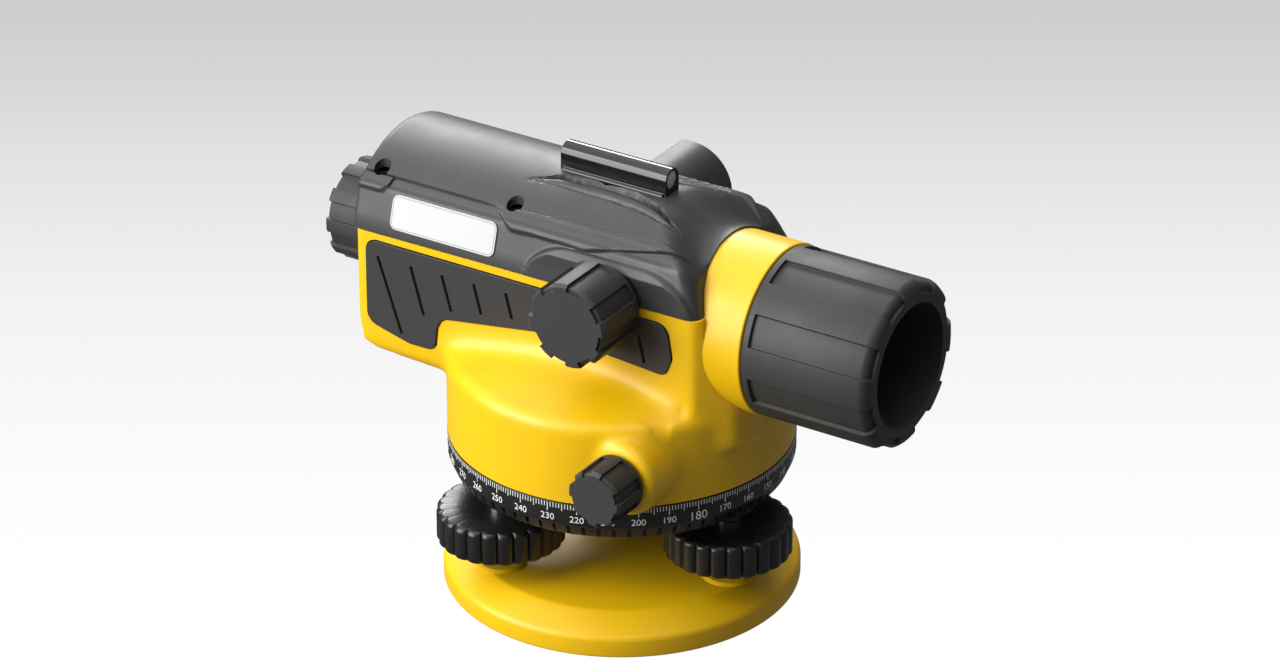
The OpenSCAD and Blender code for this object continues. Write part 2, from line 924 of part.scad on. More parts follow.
// Side profile of the vial's hood, in X and Z: upright front under a quarter round.
module hood_profile(t) {
    hood_arc = 18;
    translate([vial_x + 10 - hood_arc, hood_top - hood_arc])
        intersection() {
            circle(r = hood_arc - t);
            translate([-2, 0])
                square(BIG);
        }
    translate([vial_x - 10, shelf_top - (t > 0 ? 1 : 0)])
        square([20 - t, hood_top - hood_arc - shelf_top + 0.01 + (t > 0 ? 1 : 0)]);
}
// Hood over the vial: closed to the front, open towards the observer.
module vial_hood() {
    color("#3d3e40")
        difference() {
            translate([0, hood_y, 0])
                rotate([90, 0, 0])
                    linear_extrude(hood_y - 26)
                        hood_profile(0);
            for (x = [-3, 0])
                translate([x, hood_y - 2, 0])
                    rotate([90, 0, 0])
                        linear_extrude(hood_y - 2 - 33.5)
                            hood_profile(2);
            cover_solid(-gap);
            block([-BIG, -BIG, 0], [BIG, body_w + 0.4, split_z]);
        }
}
// Mirror under the hood that shows the vial to the observer.
module vial_mirror() {
    color("#dfe6ea")
        translate([vial_x, hood_y - 2.2, 0])
            rotate([90, 0, 0])
                linear_extrude(hood_y - 2.2 - 33.7)
                    polygon([[-8.6, 133.6], [6.6, 118.4], [7.6, 119.4], [-7.6, 134.6]]);
}
// Optical sight on top: a bar with a lens in each end.
module optical_sight() {
    color("#17181a")
        difference() {
            union() {
                xcyl(4, -21, 19.5, 0, 150);
                block([-21, -4, 140], [19.5, 4, 150]);
                block([-19, -5.2, 140], [17.5, 5.2, 146.4]);
            }
            xcyl(arch_r + 0.02, -BIG, BIG);
            xcyl(2.4, -22, 20, 0, 150);
            for (x = [-21.1, 18.3])
                xcyl(3.05, x, x + 1.3, 0, 150);
        }
}

base_plate();
tripod_thread_insert();
spring_plate();
spring_plate_screws();
ball_shoe(0);  // ball_shoe_a
ball_shoe(1);  // ball_shoe_b
ball_shoe(2);  // ball_shoe_c
ball_collar(0);  // ball_collar_a
ball_collar(1);  // ball_collar_b
ball_collar(2);  // ball_collar_c
foot_spindle(0);  // foot_spindle_a
foot_spindle(1);  // foot_spindle_b
foot_spindle(2);  // foot_spindle_c
foot_knob(0);  // foot_knob_a
foot_knob(1);  // foot_knob_b
foot_knob(2);  // foot_knob_c
tribrach_plate();
foot_bushes();
centre_axle();
axle_clip();
horizontal_circle();
circle_washer();
worm_wheel();
body_housing();
axle_bush();
top_cover();
cover_screws();
objective_collar();
objective_sleeve();
objective_cell();
objective_lens();
focusing_carriage();
focusing_lens();
guide_rods();
focus_shaft();
focus_bush();
focus_knob();
compensator_frame();
pendulum();
pendulum_prism();
damper_magnet();
reticle_cell();
reticle_glass();
reticle_screws();
eyepiece_tube();
eyepiece_ring();
ocular_cell();
ocular_lenses();
tangent_shaft();
tangent_bushes();
tangent_knob(-1);  // tangent_knob_left
tangent_knob(1);  // tangent_knob_right
vial_holder();
circular_vial();
vial_screws();
vial_hood();
vial_mirror();
optical_sight();
grip_pads();
badge_plate();
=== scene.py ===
# %% [markdown]
# # An automatic level
# The level is a surveyor's telescope on three foot screws. Its inner parts, and the bodies that everything
# moves on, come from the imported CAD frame, which stays where it is. This script makes the visible shells,
# rubber parts and scale round that frame, one piece to a cell, and gives every part a finish.

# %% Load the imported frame
import json
import math

import bmesh
import bpy
from mathutils import Matrix, Vector


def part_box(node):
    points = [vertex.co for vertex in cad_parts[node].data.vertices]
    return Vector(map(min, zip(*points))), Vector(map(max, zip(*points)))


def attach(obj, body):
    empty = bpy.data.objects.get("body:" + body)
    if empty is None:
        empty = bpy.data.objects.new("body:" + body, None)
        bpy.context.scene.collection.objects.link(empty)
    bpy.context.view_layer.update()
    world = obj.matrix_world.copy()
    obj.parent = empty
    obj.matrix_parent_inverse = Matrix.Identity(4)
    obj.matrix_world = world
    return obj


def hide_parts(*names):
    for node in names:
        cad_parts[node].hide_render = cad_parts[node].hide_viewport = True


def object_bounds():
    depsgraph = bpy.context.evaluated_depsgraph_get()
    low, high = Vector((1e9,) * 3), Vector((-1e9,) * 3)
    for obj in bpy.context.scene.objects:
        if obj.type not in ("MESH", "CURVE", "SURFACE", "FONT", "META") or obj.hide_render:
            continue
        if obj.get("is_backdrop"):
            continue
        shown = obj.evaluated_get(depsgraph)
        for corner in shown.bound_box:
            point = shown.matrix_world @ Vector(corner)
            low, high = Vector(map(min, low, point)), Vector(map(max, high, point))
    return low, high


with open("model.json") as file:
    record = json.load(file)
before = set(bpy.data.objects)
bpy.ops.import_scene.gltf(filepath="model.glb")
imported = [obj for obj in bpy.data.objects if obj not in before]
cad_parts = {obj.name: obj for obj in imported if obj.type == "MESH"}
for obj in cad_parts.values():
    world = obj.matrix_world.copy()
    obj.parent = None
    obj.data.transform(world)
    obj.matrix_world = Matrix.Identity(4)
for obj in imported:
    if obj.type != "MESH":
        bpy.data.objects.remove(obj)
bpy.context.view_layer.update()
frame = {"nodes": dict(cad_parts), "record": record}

# %% [markdown]
# ## Sizes
# Blender works in metres and the level is drawn in millimetres, so each mesh is modelled in millimetres and
# scaled once, when it becomes a piece. The main sizes and places are read from the boxes of the CAD nodes,
# so that each piece covers the node it stands for. Small offsets are written where the shape needs them.

# %% Sizes read from the frame, in millimetres
MM = 0.001


def span(node):
    """Lowest and highest corner of a CAD node, in millimetres."""
    low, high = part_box(node)
    return low / MM, high / MM


sleeve_low, sleeve_high = span("objective_sleeve")
sight_line = (sleeve_low.z + sleeve_high.z) / 2
sleeve_r = (sleeve_high.z - sleeve_low.z) / 2
cover_low, cover_high = span("top_cover")
side_y = cover_high.y
back_x = cover_low.x
split = cover_low.z
arch_r = cover_high.z - sight_line
print("line of sight", round(sight_line, 2), "half width", round(side_y, 2), "arch", round(arch_r, 2))

# %% [markdown]
# ## Modelling helpers
# Most parts of an instrument are turned or extruded, so two helpers make those: lathe() spins a profile a
# full turn about Z, and prism() extrudes an outline. Both take outlines whose corners may be rounded.
# aim() then turns a part to its own axis.

# %% Outlines, turned parts and prisms
def rounded(corners, arc_steps=6):
    """Points of a closed outline. A corner (a, b, r) is replaced by an arc of radius r."""
    points = []
    for i, corner in enumerate(corners):
        here = Vector(corner[:2])
        radius = corner[2] if len(corner) > 2 else 0
        if not radius:
            points.append(tuple(here))
            continue
        before = (Vector(corners[i - 1][:2]) - here).normalized()
        after = (Vector(corners[(i + 1) % len(corners)][:2]) - here).normalized()
        half = before.angle(after) / 2
        reach = radius / math.tan(half)
        centre = here + (before + after).normalized() * (radius / math.sin(half))
        first = here + before * reach - centre
        last = here + after * reach - centre
        turn = first.angle_signed(last)
        for k in range(arc_steps + 1):
            angle = -turn * k / arc_steps
            spoke = Matrix.Rotation(angle, 2) @ first
            points.append(tuple(centre + spoke))
    return points


def lathe(profile, steps=160, ring=False):
    """A part turned about Z from (radius, z) points. A ring's profile is joined end to end."""
    bm = bmesh.new()
    verts = [bm.verts.new((r, 0, z)) for r, z in profile]
    pairs = list(zip(verts, verts[1:])) + ([(verts[-1], verts[0])] if ring else [])
    edges = [bm.edges.new(pair) for pair in pairs]
    bmesh.ops.spin(bm, geom=verts + edges, cent=(0, 0, 0), axis=(0, 0, 1), angle=math.tau,
                   steps=steps, use_merge=True)
    bmesh.ops.remove_doubles(bm, verts=bm.verts, dist=0.0005)
    bmesh.ops.dissolve_degenerate(bm, edges=bm.edges, dist=0.0005)
    bmesh.ops.recalc_face_normals(bm, faces=bm.faces)
    return bm


def prism(outline, low, high, axis="Z"):
    """An outline extruded from low to high along an axis: for Y it is in X and Z, for X in Y and Z."""
    place = {"Z": lambda a, b: (a, b, low),
             "Y": lambda a, b: (a, low, b),
             "X": lambda a, b: (low, a, b)}[axis]
    bm = bmesh.new()
    face = bm.faces.new([bm.verts.new(place(a, b)) for a, b in outline])
    grown = bmesh.ops.extrude_face_region(bm, geom=[face])["geom"]
    step = Vector((axis == "X", axis == "Y", axis == "Z")) * (high - low)
    bmesh.ops.translate(bm, vec=step, verts=[v for v in grown if isinstance(v, bmesh.types.BMVert)])
    bmesh.ops.recalc_face_normals(bm, faces=bm.faces)
    return bm


def box(low, high):
    """A box between two corners."""
    foot = [(low[0], low[1]), (high[0], low[1]), (high[0], high[1]), (low[0], high[1])]
    return prism(foot, low[2], high[2])


def aim(bm, origin, direction, turn=0):
    """Turns a part by turn degrees about Z, points its Z axis along direction and moves it to origin."""
    bmesh.ops.rotate(bm, cent=(0, 0, 0), matrix=Matrix.Rotation(math.radians(turn), 3, "Z"), verts=bm.verts)
    bmesh.ops.rotate(bm, cent=(0, 0, 0), matrix=AXES[direction], verts=bm.verts)
    bmesh.ops.translate(bm, vec=origin, verts=bm.verts)
    return bm


AXES = {
    "+Z": Matrix.Identity(3),
    "+X": Matrix.Rotation(math.radians(90), 3, "Y"),
    "-X": Matrix.Rotation(math.radians(-90), 3, "Y"),
    "-Y": Matrix.Rotation(math.radians(90), 3, "X"),
    "+Y": Matrix.Rotation(math.radians(-90), 3, "X"),
}


def rod(radius, low, high, origin=(0, 0, 0), direction="+Z", steps=96):
    """A plain cylinder, used as a cutting tool."""
    return aim(lathe([(0, low), (radius, low), (radius, high), (0, high)], steps), origin, direction)


# %% [markdown]
# Shells are made by adding and cutting closed shapes. A boolean modifier does that, and its result is taken
# back into a bmesh at once, so that nothing stays live.

# %% Joining and cutting closed shapes
def loose(bm, name):
    """A temporary object that holds a bmesh."""
    mesh = bpy.data.meshes.new(name)
    bm.to_mesh(mesh)
    bm.free()
    obj = bpy.data.objects.new(name, mesh)
    bpy.context.scene.collection.objects.link(obj)
    return obj


def settled(obj, *spare):
    """The object's mesh with its modifiers applied, as a bmesh. The temporary objects are deleted."""
    bm = bmesh.new()
    bm.from_object(obj, bpy.context.evaluated_depsgraph_get())
    for used in (obj, *spare):
        mesh = used.data
        bpy.data.objects.remove(used)
        bpy.data.meshes.remove(mesh)
    return bm


def combine(body, tool, operation):
    """UNION, DIFFERENCE or INTERSECT of two closed shapes."""
    base, other = loose(body, "base"), loose(tool, "tool")
    modifier = base.modifiers.new("combine", "BOOLEAN")
    modifier.operation, modifier.object, modifier.solver = operation, other, "MANIFOLD"
    return settled(base, other)


def remeshed(bm, voxel):
    """The shape's skin on an even grid of small squares, ready to be smoothed."""
    obj = loose(bm, "skin")
    modifier = obj.modifiers.new("remesh", "REMESH")
    modifier.mode, modifier.voxel_size = "VOXEL", voxel
    return settled(obj)


def smooth(bm, rounds, inside=lambda co: True, factor=0.5):
    """Relaxes the vertices for which inside(co) holds."""
    chosen = [v for v in bm.verts if inside(v.co)]
    for _ in range(rounds):
        bmesh.ops.smooth_vert(bm, verts=chosen, factor=factor,
                              use_axis_x=True, use_axis_y=True, use_axis_z=True)


# %% [markdown]
# A finished piece is shaded smooth except along its real edges, rides on its CAD body, and hides the CAD
# nodes it stands for. Small bevels come from one modifier, because a rubber or cast edge is never sharp and
# the bevel is what catches the light.

# %% Turning a mesh into a piece of the level
def piece(name, bm, finish, body, slot, *nodes, crease=32, bevel=0):
    """Makes the object, scales it to metres and ties it to the frame."""
    bmesh.ops.scale(bm, vec=(MM, MM, MM), verts=bm.verts)
    for face in bm.faces:
        face.smooth = True
    for edge in bm.edges:
        edge.smooth = edge.calc_face_angle(0) < math.radians(crease)
    mesh = bpy.data.meshes.new(name)
    bm.to_mesh(mesh)
    bm.free()
    mesh.materials.append(finish)
    obj = bpy.data.objects.new(name, mesh)
    bpy.context.scene.collection.objects.link(obj)
    if bevel:
        edge_bevel = obj.modifiers.new("edge", "BEVEL")
        edge_bevel.width, edge_bevel.segments = bevel * MM, 2
        edge_bevel.limit_method, edge_bevel.angle_limit = "ANGLE", math.radians(crease)
        edge_bevel.harden_normals = True
    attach(obj, body)
    if nodes:
        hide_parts(*nodes)
    print(name, len(mesh.vertices), "vertices")
    return obj


# %% [markdown]
# ## Finishes
# Every finish starts from what the real surface is and how it was made. Their parts are the same: a colour
# that wanders a little, a grain that the light catches, and a gloss that isn't quite even. All patterns are
# measured in millimetres on the object itself.

# %% Small helpers for node materials
def linear(hex_colour):
    """An sRGB hex colour as the linear colour that shaders use."""
    channels = [int(hex_colour[i:i + 2], 16) / 255 for i in (1, 3, 5)]
    return [c / 12.92 if c <= 0.04045 else ((c + 0.055) / 1.055) ** 2.4 for c in channels] + [1]


def add(tree, kind, inputs=None, **settings):
    """Adds a node. An input is a value, or an output socket of another node to link it to."""
    node = tree.nodes.new(kind)
    for name, value in settings.items():
        setattr(node, name, value)
    for name, value in (inputs or {}).items():
        if isinstance(value, bpy.types.NodeSocket):
            tree.links.new(value, node.inputs[name])
        else:
            node.inputs[name].default_value = value
    return node


PATCH = 18  # millimetres across the slow changes of colour and gloss


def grained(name, colour, second, metallic, roughness, ior, grain, depth,
            uneven=0.05, stretch=(1, 1, 1), **shader):
    """A surface with a grain of that size and depth in millimetres, between two colours."""
    finish = bpy.data.materials.new(name)
    finish.use_nodes = True
    tree = finish.node_tree
    tree.nodes.clear()
    place = add(tree, "ShaderNodeTexCoord")
    scaled = add(tree, "ShaderNodeMapping", {"Vector": place.outputs["Object"],
                 "Scale": [s / MM for s in stretch]})
    fine = add(tree, "ShaderNodeTexNoise", {"Vector": scaled.outputs["Vector"], "Scale": 1 / grain,
               "Detail": 2.0, "Roughness": 0.6})
    broad = add(tree, "ShaderNodeTexNoise", {"Vector": scaled.outputs["Vector"], "Scale": 1 / PATCH,
                "Detail": 3.0, "Roughness": 0.55})
    blend = add(tree, "ShaderNodeMath", {0: fine.outputs["Fac"], 1: broad.outputs["Fac"]},
                operation="MULTIPLY")
    share = add(tree, "ShaderNodeMapRange", {"Value": blend.outputs["Value"],
                "From Min": 0.12, "From Max": 0.38})
    tint = add(tree, "ShaderNodeMix", {"Factor": share.outputs["Result"], 6: linear(colour),
               7: linear(second)}, data_type="RGBA")
    gloss = add(tree, "ShaderNodeMapRange", {"Value": broad.outputs["Fac"], "From Min": 0.3, "From Max": 0.7,
                "To Min": roughness - uneven, "To Max": roughness + uneven})
    bump = add(tree, "ShaderNodeBump", {"Height": fine.outputs["Fac"], "Strength": 1.0,
               "Distance": depth * MM})
    body = add(tree, "ShaderNodeBsdfPrincipled", {"Base Color": tint.outputs[2], "Metallic": metallic,
               "Roughness": gloss.outputs["Result"], "IOR": ior, "Normal": bump.outputs["Normal"], **shader})
    add(tree, "ShaderNodeOutputMaterial", {"Surface": body.outputs["BSDF"]})
    return finish


# %% The painted and moulded finishes
# Sprayed enamel on a die casting: an even warm yellow with a satin skin and a very fine orange peel.
enamel = grained("yellow_enamel", "#EDBD02", "#E6B500", 0.0, 0.4, 1.5, 0.55, 0.03)
# Moulded ABS with a spark-eroded texture: dark grey, matt, with a fine even grain.
abs_plastic = grained("textured_abs", "#343435", "#2D2D2E", 0.0, 0.46, 1.53, 0.5, 0.035)
# Soft thermoplastic elastomer: a warmer dark grey that spreads light widely and has no sharp highlight.
elastomer = grained("soft_elastomer", "#383737", "#323131", 0.0, 0.52, 1.5, 0.35, 0.02,
                    **{"Specular IOR Level": 0.35})
# Glass-filled nylon: nearly black, with a slightly silky gloss.
nylon_black = grained("black_nylon", "#161514", "#1D1B1A", 0.0, 0.34, 1.53, 0.6, 0.02)
# Black acrylic lacquer under the white graduation: smooth and a little glossy.
lacquer = grained("black_lacquer", "#151414", "#1A1918", 0.0, 0.35, 1.49, 0.8, 0.005)
# Screen-printing ink: white, thin and matt.
ink = grained("white_ink", "#EDEDEA", "#E2E2DF", 0.0, 0.5, 1.5, 0.3, 0.003)
# Grey ink for the badge's border.
grey_ink = grained("grey_ink", "#8F9092", "#87888A", 0.0, 0.45, 1.5, 0.3, 0.003)
# Vinyl label with a clear varnish: clean white with a soft gloss.
vinyl = grained("white_vinyl", "#BDBDBD", "#B9B9B9", 0.0, 0.35, 1.5, 6.0, 0.0005, uneven=0.02)
# Polished black ABS of the optical sight: a mirror-like skin that shows long clear highlights.
polished = grained("polished_abs", "#0C0C0D", "#101011", 0.0, 0.14, 1.53, 2.5, 0.004)
# Black paint on a zinc casting: fine grain, low gloss.
casting = grained("black_casting", "#1B1B1C", "#222223", 0.0, 0.5, 1.5, 0.7, 0.03)
# Natural nylon: milky, with light passing a little way in.
nylon = grained("natural_nylon", "#D9D7CC", "#CFCDC0", 0.0, 0.4, 1.53, 0.8, 0.01)

# %% The metals, the mirror and the glass
# Turned brass: fine rings round the part's axis, warm, and a little uneven where it was handled.
brass = grained("turned_brass", "#C9A35A", "#B48F49", 1.0, 0.28, 1.45, 0.25, 0.006, stretch=(1, 1, 6))
# Turned steel: bright, with the same fine rings.
steel = grained("turned_steel", "#B9BBBE", "#A5A7AB", 1.0, 0.25, 2.5, 0.25, 0.006, stretch=(1, 1, 6))
# Cold-rolled spring steel: long faint lines along the strip.
spring = grained("rolled_spring_steel", "#A9ABAF", "#95979B", 1.0, 0.3, 2.5, 0.3, 0.005, stretch=(0.2, 3, 3))
# Zinc plating: a paler, slightly bluish metal with a fine crystal grain.
zinc = grained("zinc_plating", "#C3C6C9", "#AEB2B6", 1.0, 0.33, 2.0, 0.4, 0.008)
# Black anodised aluminium: a matt dark grey metal that keeps stray light out of a telescope.
anodised = grained("black_anodised_aluminium", "#2B2B2D", "#232325", 0.6, 0.42, 1.6, 0.3, 0.006)
# Ground magnet iron: dull dark grey with grinding lines.
iron = grained("ground_iron", "#55565A", "#47484B", 1.0, 0.4, 2.9, 0.3, 0.01, stretch=(0.3, 3, 3))
# Front-silvered mirror: nothing but reflection.
silvering = grained("front_silvered_mirror", "#E8EAEC", "#E4E6E8", 1.0, 0.05, 1.5, 4.0, 0.0005, uneven=0.02)
# Coated optical glass: clear, with the faint green of its coating in the reflection.
glass = grained("coated_glass", "#DCEBE8", "#D4E6E2", 0.0, 0.04, 1.52, 6.0, 0.0005, uneven=0.01,
                **{"Transmission Weight": 0.92, "Coat Weight": 0.6, "Coat IOR": 1.38})
# Frosted acrylic of the sight's small windows: pale, and cloudy enough to hide what is behind.
frosted = grained("frosted_acrylic", "#B9BAB8", "#A5A6A4", 0.0, 0.3, 1.49, 0.5, 0.004)

FINISHES = {
    "yellow_paint": enamel, "brass": brass, "spring_steel": spring, "zinc_steel": zinc, "nylon": nylon,
    "turned_steel": steel, "black_gloss": nylon_black, "black_casting": casting, "scale_black": lacquer,
    "cover_black": abs_plastic, "rubber_dark": elastomer, "optic_alloy": anodised, "optic_glass": glass,
    "magnet": iron, "mirror": silvering, "sight_black": polished, "badge_white": vinyl,
}
print("slots with a finish", len(FINISHES))

# %% [markdown]
# The CAD nodes that stay keep their own mesh and only change their finish, by the slot that the record gives.

# %% Finishes of the CAD nodes
for part in frame["record"]["subparts"]:
    solid = frame["nodes"][part["node"]].data
    solid.materials.clear()
    solid.materials.append(FINISHES[part["material_slot"]])

# %% [markdown]
# ## The base plate
# A die-cast disc. Its section is turned: a flat rim, a sloping shoulder and a flat top, with a hollow
# underneath that saves metal. Three pockets with low lips take the balls of the foot screws, and three small
# holes between them take the screws of the leaf spring.

# %% Base plate
base_high = span("base_plate")[1]
base_r, base_top = base_high.x, base_high.z
insert_r = span("tripod_thread_insert")[1].x + 0.1
insert_top, hollow_top, hollow_r = 11.2, 1.6, 54
feet = [(span(f"foot_spindle_{k}")[0] + span(f"foot_spindle_{k}")[1]) / 2 for k in "abc"]
section = rounded([(0, insert_top), (insert_r, insert_top), (insert_r, 0), (20, 0, 0.5), (20, hollow_top),
                   (hollow_r, hollow_top), (hollow_r, 0, 0.5), (base_r, 0, 1), (base_r, 7.2, 2.5),
                   (base_r - 10, base_top, 4), (0, base_top)])
plate = lathe(section, steps=192)
pocket_r, pocket_foot = 7.3, 3.4
mouth_r, lip_low, lip_top = 4.9, base_top + 0.2, base_top + 0.9
lip = rounded([(mouth_r, lip_low), (pocket_r + 0.05, lip_low), (pocket_r + 0.05, base_top - 0.3),
               (8.8, base_top - 0.3), (8.8, base_top + 0.1), (7.8, lip_top, 0.6), (mouth_r, lip_top, 0.3)])
spring_screw_r, spring_screw_place = 2.2, 30
for foot in feet:
    plate = combine(plate, rod(pocket_r, pocket_foot, base_top + 2, (foot.x, foot.y, 0)), "DIFFERENCE")
    plate = combine(plate, aim(lathe(lip, steps=64, ring=True), (foot.x, foot.y, 0), "+Z"), "UNION")
    spring_angle = math.atan2(foot.y, foot.x) + math.radians(60)
    hole = (spring_screw_place * math.cos(spring_angle), spring_screw_place * math.sin(spring_angle), 0)
    plate = combine(plate, rod(spring_screw_r, -1, 8, hole, steps=32), "DIFFERENCE")
piece("base_casting", plate, enamel, "base", "yellow_paint", "base_plate", bevel=0.4)

# %% [markdown]
# ## The foot screws' knobs
# Each knob is moulded nylon with 24 rounded ribs. The disc is turned with many steps, and its wall is then
# drawn in between the ribs; the pull fades out towards the middle, so that the faces stay flat.

# %% Foot knobs
def ribbed(bm, count, depth, inner, outer):
    """Draws the rim in between its ribs. The ribs are full at radius outer and gone at radius inner."""
    for vert in bm.verts:
        radius = math.hypot(vert.co.x, vert.co.y)
        share = min(max((radius - inner) / (outer - inner), 0), 1)
        lobe = abs(math.sin(math.atan2(vert.co.y, vert.co.x) * count / 2)) ** 0.45
        factor = 1 - share * depth * (1 - lobe) / max(radius, 1)
        vert.co.x *= factor
        vert.co.y *= factor


spindle_hole, ribs, rib_depth = 4.05, 24, 1.35
for key, foot in zip("abc", feet):
    knob_low, knob_high = span(f"foot_knob_{key}")
    knob_r = (knob_high.x - knob_low.x) / 2
    low, high = knob_low.z + 3, knob_high.z
    profile = rounded([(spindle_hole, low, 0.3), (knob_r, low, 1.4), (knob_r, high, 2),
                       (spindle_hole, high, 0.4)])
    knob = lathe(profile, steps=288, ring=True)
    ribbed(knob, ribs, rib_depth, knob_r - 3.2, knob_r - 0.4)
    aim(knob, (foot.x, foot.y, 0), "+Z")
    piece(f"foot_knob_{key}_moulding", knob, nylon_black, f"foot_screw_{key}", "black_gloss",
          f"foot_knob_{key}", crease=50)

# %% [markdown]
# ## The horizontal circle
# A turned ring with narrow grip notches round its lower edge. The scale is printed: a short stroke for each
# degree, longer ones for five and ten, and a number at every ten. Each number is written flat, made into a
# mesh and then wrapped round the ring.

# %% The ring
ring_low, ring_high = span("horizontal_circle")
ring_r, ring_top, ring_foot = ring_high.x, ring_high.z, ring_low.z
web, axle_hole, wall_r, notches = ring_top - 2, 8.6, 53, 72
circle = lathe(rounded([(axle_hole, web), (wall_r, web), (wall_r, ring_foot), (ring_r - 2.2, ring_foot, 0.8),
                        (ring_r, ring_foot + 5, 3), (ring_r, ring_top, 0.3), (axle_hole, ring_top)]),
               steps=360, ring=True)
grips = bmesh.new()
for k in range(notches):
    turn = Matrix.Rotation(math.radians(360 / notches * k), 4, "Z")
    place = turn @ Matrix.Translation((ring_r - 0.5, 0, ring_foot + 1.6))
    bmesh.ops.create_cube(grips, size=1, matrix=place @ Matrix.Diagonal((3.2, 1.3, 4.6, 1)))
circle = combine(circle, grips, "DIFFERENCE")
piece("circle_ring", circle, lacquer, "circle", "scale_black", "horizontal_circle", bevel=0.15)

# %% The strokes
# The user may set the circle anywhere. Here its zero stands this many degrees round from the objective.
ZERO = 148
stroke_width, stroke_proud = 0.27, 0.12
strokes = bmesh.new()
for degree in range(360):
    long = 3.2 if degree % 10 == 0 else 2.5 if degree % 5 == 0 else 1.7
    place = (Matrix.Rotation(math.radians(ZERO - degree), 4, "Z")
             @ Matrix.Translation((ring_r, 0, ring_top - 0.3 - long / 2)))
    bmesh.ops.create_cube(strokes, size=1,
                          matrix=place @ Matrix.Diagonal((stroke_proud, stroke_width, long, 1)))
piece("circle_strokes", strokes, ink, "circle", "scale_black")

# %% The numbers
def number_mesh(text, height):
    """A number as a thin flat solid, centred on x = 0, with its foot on y = 0."""
    digit_share = 0.7  # a digit's height as a share of the font's size
    curve = bpy.data.curves.new("number", "FONT")
    curve.body, curve.size, curve.align_x = text, height / digit_share, "CENTER"
    curve.extrude, curve.resolution_u = 0.04, 3
    obj = bpy.data.objects.new("number", curve)
    bpy.context.scene.collection.objects.link(obj)
    solid = bpy.data.meshes.new_from_object(obj.evaluated_get(bpy.context.evaluated_depsgraph_get()))
    bm = bmesh.new()
    bm.from_mesh(solid)
    bpy.data.objects.remove(obj)
    bpy.data.curves.remove(curve)
    bpy.data.meshes.remove(solid)
    return bm


numbers = bmesh.new()
for degree in range(0, 360, 10):
    label = number_mesh(str(degree), 3.1 if degree % 180 == 0 else 2.3)
    foot_z = ring_top - (7.2 if degree % 180 == 0 else 6.6)
    for vert in label.verts:
        angle = math.radians(ZERO - degree) + vert.co.x / ring_r
        radius = ring_r + 0.02 + vert.co.z
        vert.co = (radius * math.cos(angle), radius * math.sin(angle), foot_z + vert.co.y)
    held = bpy.data.meshes.new("held")
    label.to_mesh(held)
    label.free()
    numbers.from_mesh(held)
    bpy.data.meshes.remove(held)
bmesh.ops.remove_doubles(numbers, verts=numbers.verts, dist=0.001)
bmesh.ops.recalc_face_normals(numbers, faces=numbers.faces)
piece("circle_numbers", numbers, ink, "circle", "scale_black")

# %% [markdown]
# ## The body casting
# Turret, trough, tangent-screw boss and vial shelf are one soft-edged casting. They are joined as plain
# closed shapes, given an even skin and relaxed, which rounds every edge and fills every inner corner the way
# a casting's fillets do. The machined faces are cut afterwards, so they stay crisp.

# %% Rough casting
house_low, house_high = span("body_housing")
turret_r, turret_foot = house_high.x, house_low.z
tangent_low, tangent_high = span("tangent_bushes")
tangent_x = (tangent_low.x + tangent_high.x) / 2
tangent_z = (tangent_low.z + tangent_high.z) / 2
boss_y = tangent_high.y
turret = lathe([(0, turret_foot - 4), (turret_r, turret_foot - 4), (turret_r, 82), (turret_r - 1.4, 84.2),
                (32, 92), (20, 95.5), (0, 95.5)], steps=160)
trough_top, trough_front = 126, turret_r + 0.5
trough_side = rounded([(back_x, trough_top), (back_x, 86), (-84.5, 83.8), (-82.6, 76.8), (-78, 74.4),
                       (-48, 71.3), (-40, 66), (trough_front, 66), (trough_front, trough_top)])
nose = [(46.8, side_y, 2.5), (50.5, 27.5, 2), (57, 20.5, 6), (trough_front, 13)]
trough_plan = rounded([(back_x, -side_y, 4), *((x, -y, *r) for x, y, *r in nose), *reversed(nose),
                       (back_x, side_y, 4)])
trough_end = rounded([(-side_y, trough_top), (-side_y, 71, 8), (side_y, 71, 8), (side_y, trough_top)])
trough = prism(trough_side, -side_y, side_y, "Y")
trough = combine(trough, prism(trough_plan, 60, 130, "Z"), "INTERSECT")
trough = combine(trough, prism(trough_end, back_x - 1, turret_r + 2, "X"), "INTERSECT")
boss = aim(lathe(rounded([(0, -boss_y), (13, -boss_y, 2.5), (13, boss_y, 2.5), (0, boss_y)])),
           (tangent_x, 0, tangent_z), "+Y")
shelf = box((-12, 26, 97), (14, 51.5, 105))
casting_shape = turret
for part in (trough, boss, shelf):
    casting_shape = combine(casting_shape, part, "UNION")
print("rough casting", len(casting_shape.faces), "faces")

# %% Hollow, skin and fillets
hollow = combine(box((-81.5, -27.3, 79), (43, 27.3, 130)), rod(54.5, 50, 76.5), "UNION")
casting_shape = combine(casting_shape, hollow, "DIFFERENCE")
skin_square = 1.1
casting_shape = remeshed(casting_shape, skin_square)
smooth(casting_shape, 7)


def in_fillet(co):
    """Where the turret's cone meets the trough's sides."""
    return 79 < co.z < 99 and 29.5 < abs(co.y) < 43 and -52 < co.x < 43


smooth(casting_shape, 45, in_fillet)
print("skin", len(casting_shape.faces), "faces")

# %% [markdown]
# The pads lie in recesses of their own outline. The seam to the cover rises a little towards the front, so
# casting and cover are both cut with a block that is tilted by that rise.

# %% Grip outline
knob_low, knob_high = span("focus_knob")
focus_x, focus_z = (knob_low.x + knob_high.x) / 2, (knob_low.z + knob_high.z) / 2


